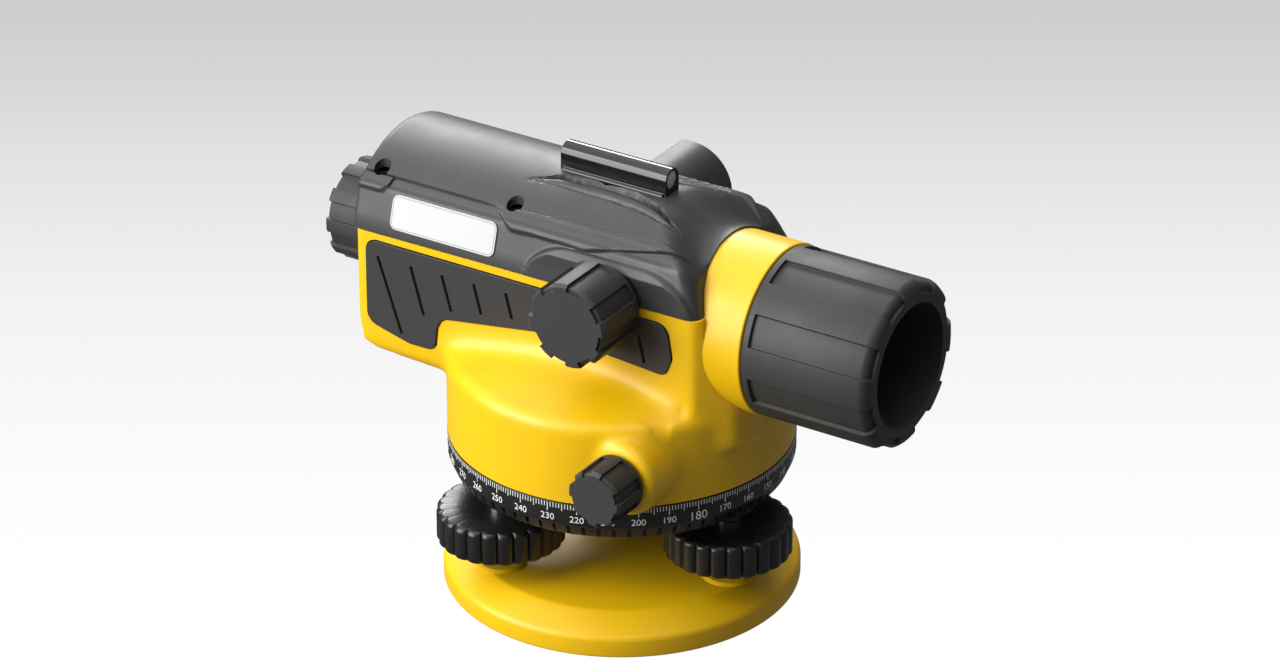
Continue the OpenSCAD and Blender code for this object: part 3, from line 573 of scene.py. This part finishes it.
def grip_outline(i):
    """Outline of a grip pad in X and Z, i millimetres inside the recess."""
    top = 115.6 - i
    return rounded([(-80 + i, 85.4 + i, 5), (-63, 81.2 + i, 5), (-53 - i, 81.4 + i, 3.5), (-52 - i, 90, 3),
                    (-50, 94 + i, 4), (-14, 99.5 + i), (14, 99 + i), (36.8, 97.3 + i, 3.5),
                    (39.2 - i, 104, 5), (37.2 - i, top, 5), (-80 + i, top, 4.5)], arc_steps=5)


# %% A block that follows the seam
seam_rise, seam_run = 1.2, 132


def seam_block(low, high, lift):
    """A block between two heights above the seam's plane, moved up by lift."""
    block = prism([(-20, -90), (200, -90), (200, 90), (-20, 90)], low, high)
    tilt = Matrix.Rotation(-math.atan2(seam_rise, seam_run), 3, "Y")
    bmesh.ops.rotate(block, cent=(0, 0, 0), matrix=tilt, verts=block.verts)
    bmesh.ops.translate(block, vec=(back_x, 0, split + lift), verts=block.verts)
    return block


# %% Machined faces of the casting
recess_y, recess_gap = side_y - 1.6, 0.35
collar_r = span("objective_collar")[1].y
eye_hole, focus_hole, tangent_hole, vial_hole = 13.6, 6.1, 5.1, 7.6
near_recess = prism(grip_outline(-recess_gap), -side_y - 5, -recess_y, "Y")
far_recess = combine(prism(grip_outline(-recess_gap), recess_y, side_y + 5, "Y"),
                     box((-16, 0, 70), (18, 60, 130)), "DIFFERENCE")
front_trim = prism([(48.3, 122), (49.5, 113), (51.3, 100.5), (53.8, 92.6), (57.4, 87.5), (70, 87.5),
                    (70, 122)], -60, 60, "Y")
cuts = [
    seam_block(0, 60, 0.05),
    box((-100, -100, 40), (100, 100, turret_foot)),
    near_recess,
    far_recess,
    front_trim,
    rod(collar_r + 0.05, 46.9, 70, (0, 0, sight_line), "+X", 160),
    rod(eye_hole, 60, 95, (0, 0, sight_line), "-X"),
    rod(focus_hole, 20, 40, (focus_x, 0, focus_z), "-Y"),
    rod(tangent_hole, 20, 60, (tangent_x, 0, tangent_z), "-Y"),
    rod(tangent_hole, 20, 60, (tangent_x, 0, tangent_z), "+Y"),
    rod(vial_hole, 94, 110, (1, 41, 0)),
]
for cut in cuts:
    casting_shape = combine(casting_shape, cut, "DIFFERENCE")
piece("turret_casting", casting_shape, enamel, "alidade", "yellow_paint", "body_housing", crease=48)

# %% [markdown]
# ## The grip pads
# Soft pads pressed into the recesses, with slanted grooves that a mould cut leaves.

# %% Grip pads
# Top and foot of each groove in X and Z.
GROOVES = [((-75, 110.3), (-65.9, 83.9)), ((-61.9, 110.1), (-57, 93.3)), ((-49.5, 110.2), (-46, 97.7)),
           ((-36.9, 110.3), (-34.1, 99.9)), ((-24.4, 110.5), (-22, 101.6)), ((26.8, 109.6), (29.1, 100))]
groove_width, pad_proud = 1.1, 0.7


def slot_cut(top, foot, side):
    """A narrow cutter along a line in X and Z on one side."""
    top, foot = Vector(top), Vector(foot)
    along = (foot - top).normalized()
    across = Vector((-along.y, along.x)) * (groove_width / 2)
    outline = [top + across, top - across, foot - across, foot + across]
    low, high = sorted((side * (side_y - 0.4), side * (side_y + 2)))
    return prism([tuple(point) for point in outline], low, high, "Y")


near_pad = combine(prism(grip_outline(0), -side_y - pad_proud, -recess_y - 0.02, "Y"),
                   rod(8.6, 20, 40, (focus_x, 0, focus_z), "-Y"), "DIFFERENCE")
far_pad = combine(prism(grip_outline(0), recess_y + 0.02, side_y + pad_proud, "Y"),
                  box((-15, 0, 70), (17, 60, 130)), "DIFFERENCE")
for top, foot in GROOVES:
    near_pad = combine(near_pad, slot_cut(top, foot, -1), "DIFFERENCE")
    far_pad = combine(far_pad, slot_cut(top, foot, 1), "DIFFERENCE")
piece("grip_pad_near", near_pad, elastomer, "alidade", "rubber_dark", "grip_pads", bevel=0.55)
piece("grip_pad_far", far_pad, elastomer, "alidade", "rubber_dark", bevel=0.55)

# %% [markdown]
# ## The cover
# A moulded shell over the line of sight. Its shape is easiest to say as a radius about that line for each
# angle above the horizon and each place along it, so the cover starts as an even grid whose vertices are
# moved to those radii. The grid is then closed towards the line of sight, which makes a solid to cut.

# %% Radius of the cover
def ease(value, low, high):
    """0 below low, 1 above high and a soft step between."""
    t = min(max((value - low) / (high - low), 0), 1)
    return t * t * (3 - 2 * t)


def softer_min(a, b, soft):
    """The smaller of two lengths, with a rounded crease."""
    h = max(soft - abs(a - b), 0) / soft
    return min(a, b) - h * h * soft / 4


def softer_max(a, b, soft):
    """The larger of two lengths, with a rounded crease."""
    return -softer_min(-a, -b, soft)


def along(value, *points):
    """A value read from a line through (place, value) points."""
    for (x0, y0), (x1, y1) in zip(points, points[1:]):
        if value <= x1:
            return y0 + (y1 - y0) * max(value - x0, 0) / (x1 - x0)
    return points[-1][1]


# The leaning shoulder is a flat face that far from the line of sight, turned that far up. At the crease, in
# degrees above the horizon, it meets the arch.
shoulder_r, shoulder_lean = 33.81, math.radians(16)
CREASE = 50.4


def front_edge(angle):
    """Where the cover ends above the objective collar."""
    return along(angle, (20, 48.4), (27, 47.9), (41, 45.4), (55, 43.4), (75, 42.2), (90, 42))


def plain_radius(x, angle):
    """Upright side, leaning shoulder and arch, with the fender bulging out over the tangent knob."""
    a = math.radians(angle)
    upright = side_y / math.cos(a)
    leaning = shoulder_r / math.cos(a - shoulder_lean)
    radius = softer_min(softer_min(upright, leaning, 1.2), arch_r, 0.6)
    if -18 < x < 46.6:
        lift = 1.0
        if x > 26:
            lift = math.sqrt(1 - ((x - 26) / 20.6) ** 2)
        elif x < 0:
            lift = math.sqrt(1 - (x / 18) ** 2)
        fender_top = 10.5 + 13.5 * lift
        fender = softer_min(upright, fender_top / max(math.sin(a), 0.01), 2.5)
        radius = softer_max(radius, min(fender, arch_r), 1.2)
    start = along(angle, (25, 43), (45, 38), (60, 27), (75, 21), (90, 18))
    end = front_edge(angle)
    s = min(max((x - start) / (end - start), 0), 1)
    share = ease(angle, 35, 65)
    drop = (1 - math.sqrt(max(1 - s * s, 0))) * (1 - share) + ease(s, 0, 1) * share
    radius -= (radius - 29.6) * drop
    rear = min(max((2 - (x - back_x)) / 2, 0), 1)
    return radius - 1.6 * (1 - math.sqrt(1 - rear * rear))


def band(value, low, high, soft):
    """1 between low and high, falling to 0 over a soft edge."""
    return ease(value, low - soft, low + soft) * (1 - ease(value, high - soft, high + soft))


def cover_radius(x, angle):
    """The plain radius with the crease, the raised bands and the hollow beside the sight."""
    radius = plain_radius(x, angle)
    fade = 1 - ease(x, 30, 40)
    if angle > 43:
        radius -= 0.45 * (1 - ease(angle, CREASE, CREASE + 0.9)) * ease(angle, 43, 46) * fade
    groove = band(angle, CREASE - 0.3, CREASE + 0.3, 0.5)
    radius -= 0.45 * groove * (1 - ease(x, -38, -31)) * ease(x, back_x, -84)
    top = along(x, (-31.3, 50), (-22.3, 51.7), (-6.8, 52.4), (8.7, 53.1), (20.8, 54.2), (28.7, 55.6),
                (36.8, 53.5), (43.5, 52.3))
    low = along(x, (-31.3, 50), (-30.2, 46.7), (-24.4, 40.6), (-11.5, 41.3), (4.4, 40.6), (9.7, 43),
                (23.1, 47.7), (31.3, 50.5), (38.6, 51.9), (43.5, 52.3))
    if x > -31.3:
        radius += 1.3 * band(angle, low, top, 0.6) * min(max((top - low) / 2, 0), 1)
    rear_low = along(x, (back_x, 41.5), (-75.7, 41.6), (-73.7, 44.6), (-73, 49.5))
    if x < -73:
        radius += 0.9 * band(angle, rear_low, 50, 0.6)
    high = along(x, (-30.1, 69.1), (-23.2, 74.5), (-17.4, 79.6), (-3.1, 83.1), (10.2, 81.5),
                 (19.6, 76.9), (32.6, 65))
    foot = along(x, (-30.1, 69.1), (-21.5, 70.6), (2.2, 70.5), (15.2, 69.3), (24.4, 66), (32.6, 65))
    if -30.1 < x < 32.6 and foot < angle < high:
        t = (angle - foot) / (high - foot)
        upper = math.exp(-((t - 0.84) / 0.16) ** 2)
        lower = math.exp(-((t - 0.14) / 0.1) ** 2)
        depth = min((high - foot) / 7, 1) * (2.1 * upper + 1.0 * lower)
        radius -= depth * ease(t, 0, 0.08) * (1 - ease(t, 0.95, 1))
    return radius


# %% Grid moved to those radii
def polar_solid(radius, x_from, x_to, rows, angles):
    """A closed solid about the line of sight whose skin is at the radii that radius(x, angle) gives."""
    bm = bmesh.new()
    bmesh.ops.create_grid(bm, x_segments=len(rows) - 1, y_segments=len(angles) - 1, size=0.5)
    end_x = x_to(0)
    fronts = set()
    for vert in bm.verts:
        row = round((vert.co.x + 0.5) * (len(rows) - 1))
        if row == len(rows) - 1:
            fronts.add(vert)
        angle = angles[round((vert.co.y + 0.5) * (len(angles) - 1))]
        steep = min(angle, 180 - angle)
        x = x_from + rows[row] * (x_to(steep) - x_from)
        reach = radius(x, steep)
        a = math.radians(angle)
        vert.co = (x, -reach * math.cos(a), sight_line + reach * math.sin(a))
    rim = [e for e in bm.edges if e.is_boundary]
    grown = bmesh.ops.extrude_edge_only(bm, edges=rim)["geom"]
    for vert in (g for g in grown if isinstance(g, bmesh.types.BMVert)):
        at_front = any(e.other_vert(vert) in fronts for e in vert.link_edges)
        vert.co = (end_x if at_front else vert.co.x, 0, sight_line)
    bmesh.ops.remove_doubles(bm, verts=bm.verts, dist=0.002)
    bmesh.ops.recalc_face_normals(bm, faces=bm.faces)
    return bm


def steps(*stops):
    """Numbers from stop to stop: each stop is (value, step up to the next one)."""
    values = []
    for (a, step), (b, _) in zip(stops, stops[1:]):
        count = round((b - a) / step)
        values += [a + (b - a) * k / count for k in range(count)]
    return values + [stops[-1][0]]


# The grid is finest at the crease and at the edges of the raised bands.
half = steps((15, 1), (20, 0.6), (46, 0.4), (49, 0.25), (52, 0.4), (57, 0.8), (90, 1))
angles = half + [180 - a for a in reversed(half[:-1])]
rows = steps((0, 0.005), (0.015, 0.0075), (0.09, 0.0025), (0.1, 0.0075), (0.4, 0.004), (0.46, 0.006),
             (0.9, 0.003), (1, 1))
cover_wall = 2.6
outer = polar_solid(cover_radius, back_x, front_edge, rows, angles)
inner = polar_solid(lambda x, angle: plain_radius(min(x + 3, 41), angle) - cover_wall, back_x + 2.5,
                    lambda angle: 36, steps((0, 0.02), (1, 1)), steps((15, 3), (165, 1)))
print("cover grid", len(rows), "by", len(angles))

# %% Cover cut from the solid
screw_low, screw_high = span("cover_screws")
head_r, screw_hole, screw_post = 2.7, 2.9, 4.4
screw_x = (screw_low.x + head_r, screw_high.x - head_r)
screw_y = screw_high.y - head_r
cover = combine(outer, inner, "DIFFERENCE")
for x in screw_x:
    for y in (-screw_y, screw_y):
        cover = combine(cover, rod(screw_post, 112, 135, (x, y, 0), steps=48), "UNION")
        cover = combine(cover, rod(screw_hole, screw_low.z, 150, (x, y, 0), steps=48), "DIFFERENCE")
for cut in (seam_block(-60, 0, 0.3),
            rod(collar_r + 0.05, 38, 70, (0, 0, sight_line), "+X", 160),
            rod(eye_hole, 60, 95, (0, 0, sight_line), "-X"),
            rod(focus_hole, 20, 40, (focus_x, 0, focus_z), "-Y")):
    cover = combine(cover, cut, "DIFFERENCE")
piece("cover_moulding", cover, abs_plastic, "alidade", "cover_black", "top_cover", crease=40)

# %% [markdown]
# ## Collar and objective sleeve
# The collar is turned and painted like the body. The rubber sleeve over the objective has eight long
# panels. Their faces are chosen, inset and pressed in, so that their edges get a small slope, as moulded
# rubber has.

# %% Collar
collar_front = span("objective_collar")[1].x
cell_r = span("objective_cell")[1].y
collar = lathe(rounded([(cell_r + 0.1, 40), (collar_r, 40), (collar_r, collar_front, 0.6),
                        (cell_r + 0.1, collar_front)]), ring=True)
aim(collar, (0, 0, sight_line), "+X")
piece("collar_ring", collar, enamel, "alidade", "yellow_paint", "objective_collar", crease=40)


# %% Recessed panels
def panels(bm, count, columns, steps_round, low, depth, slope, inner):
    """Presses in panels round a part turned about Z: columns wide, from height low to the part's top edge."""
    bm.faces.ensure_lookup_table()
    for k in range(count):
        middle = 360 / count * k
        chosen = []
        for face in bm.faces:
            centre = face.calc_center_median()
            angle = math.degrees(math.atan2(centre.y, centre.x))
            off = abs((angle - middle + 180) % 360 - 180)
            outside = face.normal.x * centre.x + face.normal.y * centre.y > 0.3 * centre.xy.length
            rim = face.normal.z > 0.3 and centre.xy.length > inner
            if off < columns * 180 / steps_round and centre.z > low and (outside or rim):
                chosen.append(face)
        bmesh.ops.inset_region(bm, faces=chosen, thickness=slope, depth=-depth, use_even_offset=True,
                               use_boundary=True)
    bmesh.ops.recalc_face_normals(bm, faces=bm.faces)


# %% Objective sleeve
panel_start, shade_r, cell_front, sleeve_front = 65.4, 20.9, 78.4, sleeve_high.x
sleeve = lathe([(cell_r + 0.2, sleeve_low.x), (sleeve_r - 0.4, sleeve_low.x), (sleeve_r, sleeve_low.x + 0.5),
                (sleeve_r, panel_start), (sleeve_r, 75), (sleeve_r, 90), (sleeve_r, sleeve_front - 3.4),
                (sleeve_r - 0.35, sleeve_front - 2.2), (sleeve_r - 1.2, sleeve_front - 0.9),
                (sleeve_r - 2.3, sleeve_front - 0.15), (sleeve_r - 3, sleeve_front), (24, sleeve_front),
                (shade_r, sleeve_front), (shade_r, cell_front), (cell_r + 0.2, cell_front)], ring=True)
panels(sleeve, 8, 10, 160, panel_start, 1.1, 0.15, inner=24.2)
aim(sleeve, (0, 0, sight_line), "+X", turn=-90 - 24.2)
piece("sleeve_rubber", sleeve, elastomer, "alidade", "rubber_dark", "objective_sleeve", bevel=0.2)

# %% [markdown]
# ## The hand knobs
# Focusing knob, tangent knobs and eyepiece ring are one family: a turned body, a bevelled rim and recessed
# panels that run out through the rim, where they leave notches.

# %% Knobs
def hand_knob(radius, length, bore, rim, count, columns, steps_round=120, inside=()):
    """A panelled knob about Z, from z = 0 to its face at z = length."""
    bm = lathe([(bore, 0), (radius - 0.6, 0), (radius, 0.6), (radius, 1.6), (radius, length * 0.5),
                (radius, length - 1.1), (radius - 1.1, length), (rim, length), *(inside or [(bore, length)])],
               steps_round, ring=True)
    panels(bm, count, columns, steps_round, 1.6, 1.1, 0.12, inner=rim)
    return bm


def plug(bm, radius, low, high):
    """Fills a knob's bore towards its face, so that the shaft ends inside."""
    return combine(bm, rod(radius, low, high), "UNION")


focus_r = (knob_high.x - knob_low.x) / 2
focus_l = knob_high.y - knob_low.y
focus = hand_knob(focus_r, focus_l, 3.0, 12.3, 8, 8.5)
focus = plug(focus, 3.5, focus_l - 8, focus_l - 0.01)
aim(focus, (focus_x, knob_high.y, focus_z), "-Y", turn=32)
piece("focus_knob_moulding", focus, elastomer, "focus_drive", "rubber_dark", "focus_knob", bevel=0.2)

for name, direction in (("left", "-Y"), ("right", "+Y")):
    low, high = span(f"tangent_knob_{name}")
    near, far = sorted((abs(low.y), abs(high.y)))
    knob = hand_knob((high.x - low.x) / 2, far - near, 2.5, 8.2, 8, 8.5)
    knob = plug(knob, 3.0, far - near - 3, far - near - 0.01)
    aim(knob, (tangent_x, near if name == "right" else -near, tangent_z), direction, turn=18)
    piece(f"tangent_knob_{name}_moulding", knob, elastomer, "tangent_drive", "rubber_dark",
          f"tangent_knob_{name}", bevel=0.18)

eye_low, eye_high = span("eyepiece_ring")
eye_r = eye_high.y
eye_l = eye_high.x - eye_low.x
eye_bore, eye_window, window_wall = 16.1, 11.3, 1.8
eye_inside = ((eye_window, eye_l), (eye_window, eye_l - window_wall), (eye_bore, eye_l - window_wall))
eye = hand_knob(eye_r, eye_l, eye_bore, 14.8, 10, 8.5, steps_round=140, inside=eye_inside)
aim(eye, (eye_high.x, 0, sight_line), "-X")
piece("eyepiece_ring_moulding", eye, elastomer, "eyepiece_ring", "rubber_dark", "eyepiece_ring", bevel=0.18)

# %% [markdown]
# ## The optical sight
# A polished bar with a rounded top on a flared foot that runs along it. Each end holds a small lens in a
# counterbore.

# %% Optical sight
sight_low, sight_high = span("optical_sight")
half_w, seat, lens_hole, counterbore = 4, 143.2, 2.4, 3.05
sight_z = sight_high.z - half_w
bar = prism(rounded([(-half_w, seat), (half_w, seat), (half_w, sight_high.z, 3.95),
                     (-half_w, sight_high.z, 3.95)], arc_steps=12), sight_low.x, sight_high.x, "X")
flare = prism(rounded([(-4.9, seat), (4.9, seat), (4.9, 145.6, 0.8), (half_w - 1, 147), (-half_w + 1, 147),
                       (-4.9, 145.6, 0.8)]), sight_low.x + 1, sight_high.x - 1, "X")
sight = combine(bar, flare, "UNION")
for cut in (rod(lens_hole, -60, 60, (0, 0, sight_z), "+X", 48),
            rod(counterbore, sight_high.x - 1.2, sight_high.x + 2, (0, 0, sight_z), "+X", 64),
            rod(counterbore, -sight_low.x - 1.2, -sight_low.x + 2, (0, 0, sight_z), "-X", 64)):
    sight = combine(sight, cut, "DIFFERENCE")
piece("sight_bar", sight, polished, "alidade", "sight_black", "optical_sight", crease=35, bevel=0.3)

lens_profile = [(0, -0.5), (3, -0.5), (3, 0.2), (2.2, 0.5), (1.2, 0.7), (0, 0.78)]
for name, place, direction in (("front", sight_high.x - 0.7, "+X"), ("rear", sight_low.x + 0.7, "-X")):
    lens = aim(lathe(lens_profile, 48), (place, 0, sight_z), direction)
    piece(f"sight_lens_{name}", lens, frosted, "alidade", "optic_glass")

# %% [markdown]
# ## Hood of the circular vial
# The hood shades the vial and holds a mirror over it, so the bubble is seen from the eyepiece. It is an
# arched block, hollowed from below and from the rear.

# %% Vial hood
hood_low, hood_high = span("vial_hood")
hood_wall = 1.6
hood_side = rounded([(hood_low.x, hood_low.z), (hood_low.x, hood_high.z, 1.2), (hood_high.x, hood_high.z, 15),
                     (hood_high.x, hood_low.z)], arc_steps=14)
hood = prism(hood_side, 26, hood_high.y, "Y")
inside_x, inside_z = hood_high.x - hood_wall, hood_high.z - hood_wall
hood_inside = rounded([(hood_low.x - 3, hood_low.z - 3), (hood_low.x - 3, inside_z),
                       (inside_x, inside_z, 13.5), (inside_x, hood_low.z - 3)], arc_steps=14)
hood = combine(hood, prism(hood_inside, side_y + hood_wall, hood_high.y - hood_wall, "Y"), "DIFFERENCE")
for cut in (box((-30, 0, 100), (30, side_y + 0.02, 121.3)),
            rod(arch_r + 0.5, -60, 60, (0, 0, sight_line), "+X", 240)):
    hood = combine(hood, cut, "DIFFERENCE")
piece("hood_moulding", hood, abs_plastic, "alidade", "cover_black", "vial_hood", crease=35, bevel=0.7)

# %% [markdown]
# ## The badge
# A blank label with a thin grey border on the cover's leaning side. The border is an inset ring of faces.

# %% Badge
badge_low, badge_high = span("badge_plate")
badge_x = (badge_low.x + badge_high.x) / 2
half_l, half_h = (badge_high.x - badge_low.x) / 2, 5.9
badge = prism(rounded([(-half_l, -half_h, 2.5), (half_l, -half_h, 2.5), (half_l, half_h, 2.5),
                       (-half_l, half_h, 2.5)]), -0.3, 0.3)
face = max(badge.faces, key=lambda f: f.calc_center_median().z)
bmesh.ops.inset_region(badge, faces=[face], thickness=0.45)
ring = bmesh.ops.inset_region(badge, faces=[face], thickness=0.3)["faces"]
for strip in ring:
    strip.material_index = 1
upright = Matrix.Rotation(math.radians(90) - shoulder_lean, 3, "X")
bmesh.ops.rotate(badge, cent=(0, 0, 0), matrix=upright, verts=badge.verts)
middle_z = 127.4
reach = shoulder_r + 0.25
lift = (middle_z - sight_line - reach * math.sin(shoulder_lean)) / math.cos(shoulder_lean)
spot = Vector((badge_x, -reach * math.cos(shoulder_lean) + lift * math.sin(shoulder_lean), middle_z))
bmesh.ops.translate(badge, vec=spot, verts=badge.verts)
label = piece("badge_label", badge, vinyl, "alidade", "badge_white", "badge_plate", crease=40, bevel=0.12)
label.data.materials.append(grey_ink)

# %% [markdown]
# ## Studio
# The level stands on glowing white paper. The falloff of the studio light towards the back is painted into
# its glow as painted shade, white near the level and grey behind. The paper is seen but lights nothing, as
# when an object is lit for itself in front of a bright sweep. A large soft light stands high on the left. A
# second hangs behind and above, and the tops of the arch, collar and sight reflect it. A third, straight
# overhead and much larger, softens the shadows.

# %% Floor
ground = bmesh.new()
bmesh.ops.create_grid(ground, x_segments=1, y_segments=1, size=4)
paper_mesh = bpy.data.meshes.new("paper")
ground.to_mesh(paper_mesh)
ground.free()
paper_obj = bpy.data.objects.new("paper", paper_mesh)
paper_obj.visible_diffuse = paper_obj.visible_glossy = False
bpy.context.scene.collection.objects.link(paper_obj)
paper_obj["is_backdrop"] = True
paper = bpy.data.materials.new("glowing_paper_with_painted_falloff")
paper.use_nodes = True
tree = paper.node_tree
tree.nodes.clear()
on_floor = add(tree, "ShaderNodeTexCoord")
away = math.radians(-122.5)  # turns the falloff to run away from the camera
turned = add(tree, "ShaderNodeMapping", {"Vector": on_floor.outputs["Object"], "Rotation": (0, 0, away)})
parts = add(tree, "ShaderNodeSeparateXYZ", {"Vector": turned.outputs["Vector"]})
backwards = add(tree, "ShaderNodeMapRange", {"Value": parts.outputs["X"], "From Min": 0.0,
                "From Max": 0.5})
falloff = add(tree, "ShaderNodeValToRGB", {"Fac": backwards.outputs["Result"]})
glow = add(tree, "ShaderNodeEmission", {"Color": falloff.outputs["Color"], "Strength": 1.0})
add(tree, "ShaderNodeOutputMaterial", {"Surface": glow.outputs["Emission"]})
# The ramp paints the paper's glow from white to grey away from the camera. This is painted shade for the
# light's falloff, not a tint of the paper.
ramp = falloff.color_ramp
ramp.elements[0].color = linear("#FFFFFF")
ramp.elements[1].color = linear("#C8C8C8")
for place, grey in ((0.09, "#FDFDFD"), (0.39, "#F2F2F2"), (0.65, "#E1E1E1"), (0.78, "#D6D6D6"),
                    (0.93, "#CCCCCC")):
    ramp.elements.new(place).color = linear(grey)
paper_mesh.materials.append(paper)


# %% Lights, room and camera
def softbox(name, place, target, width, height, watts):
    """A soft rectangular light that points at a target."""
    lamp = bpy.data.lights.new(name, "AREA")
    lamp.shape, lamp.size, lamp.size_y, lamp.energy = "RECTANGLE", width, height, watts
    obj = bpy.data.objects.new(name, lamp)
    obj.location = place
    obj.rotation_euler = (Vector(target) - Vector(place)).to_track_quat("-Z", "Y").to_euler()
    bpy.context.scene.collection.objects.link(obj)
    return obj


middle = (0, 0, 0.09)
softbox("key_left", (-0.8, -1.1, 0.6), middle, 1.2, 1.2, 34)
softbox("behind", (-0.95, 1.0, 0.85), middle, 0.9, 0.45, 20)
softbox("overhead", (-0.3, -0.1, 1.3), middle, 2.0, 2.0, 20)
world = bpy.data.worlds.new("room")
world.use_nodes = True
background = world.node_tree.nodes.get("Background") or add(world.node_tree, "ShaderNodeBackground")
background.inputs["Color"].default_value = (1, 1, 1, 1)
background.inputs["Strength"].default_value = 0.17
bpy.context.scene.world = world
bpy.context.scene.view_settings.view_transform = "Standard"

camera_data = bpy.data.cameras.new("camera")
camera_data.lens, camera_data.sensor_width = 158.2, 36
camera = bpy.data.objects.new("camera", camera_data)
camera.location = (0.8876, -1.3831, 0.9434)
camera.rotation_euler = Vector((-0.4765, 0.7485, -0.4611)).to_track_quat("-Z", "Y").to_euler()
bpy.context.scene.collection.objects.link(camera)
bpy.context.scene.camera = camera

# %% Sizes and the end
low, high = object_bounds()
print("visual size in mm", [round((b - a) / MM, 1) for a, b in zip(low, high)])
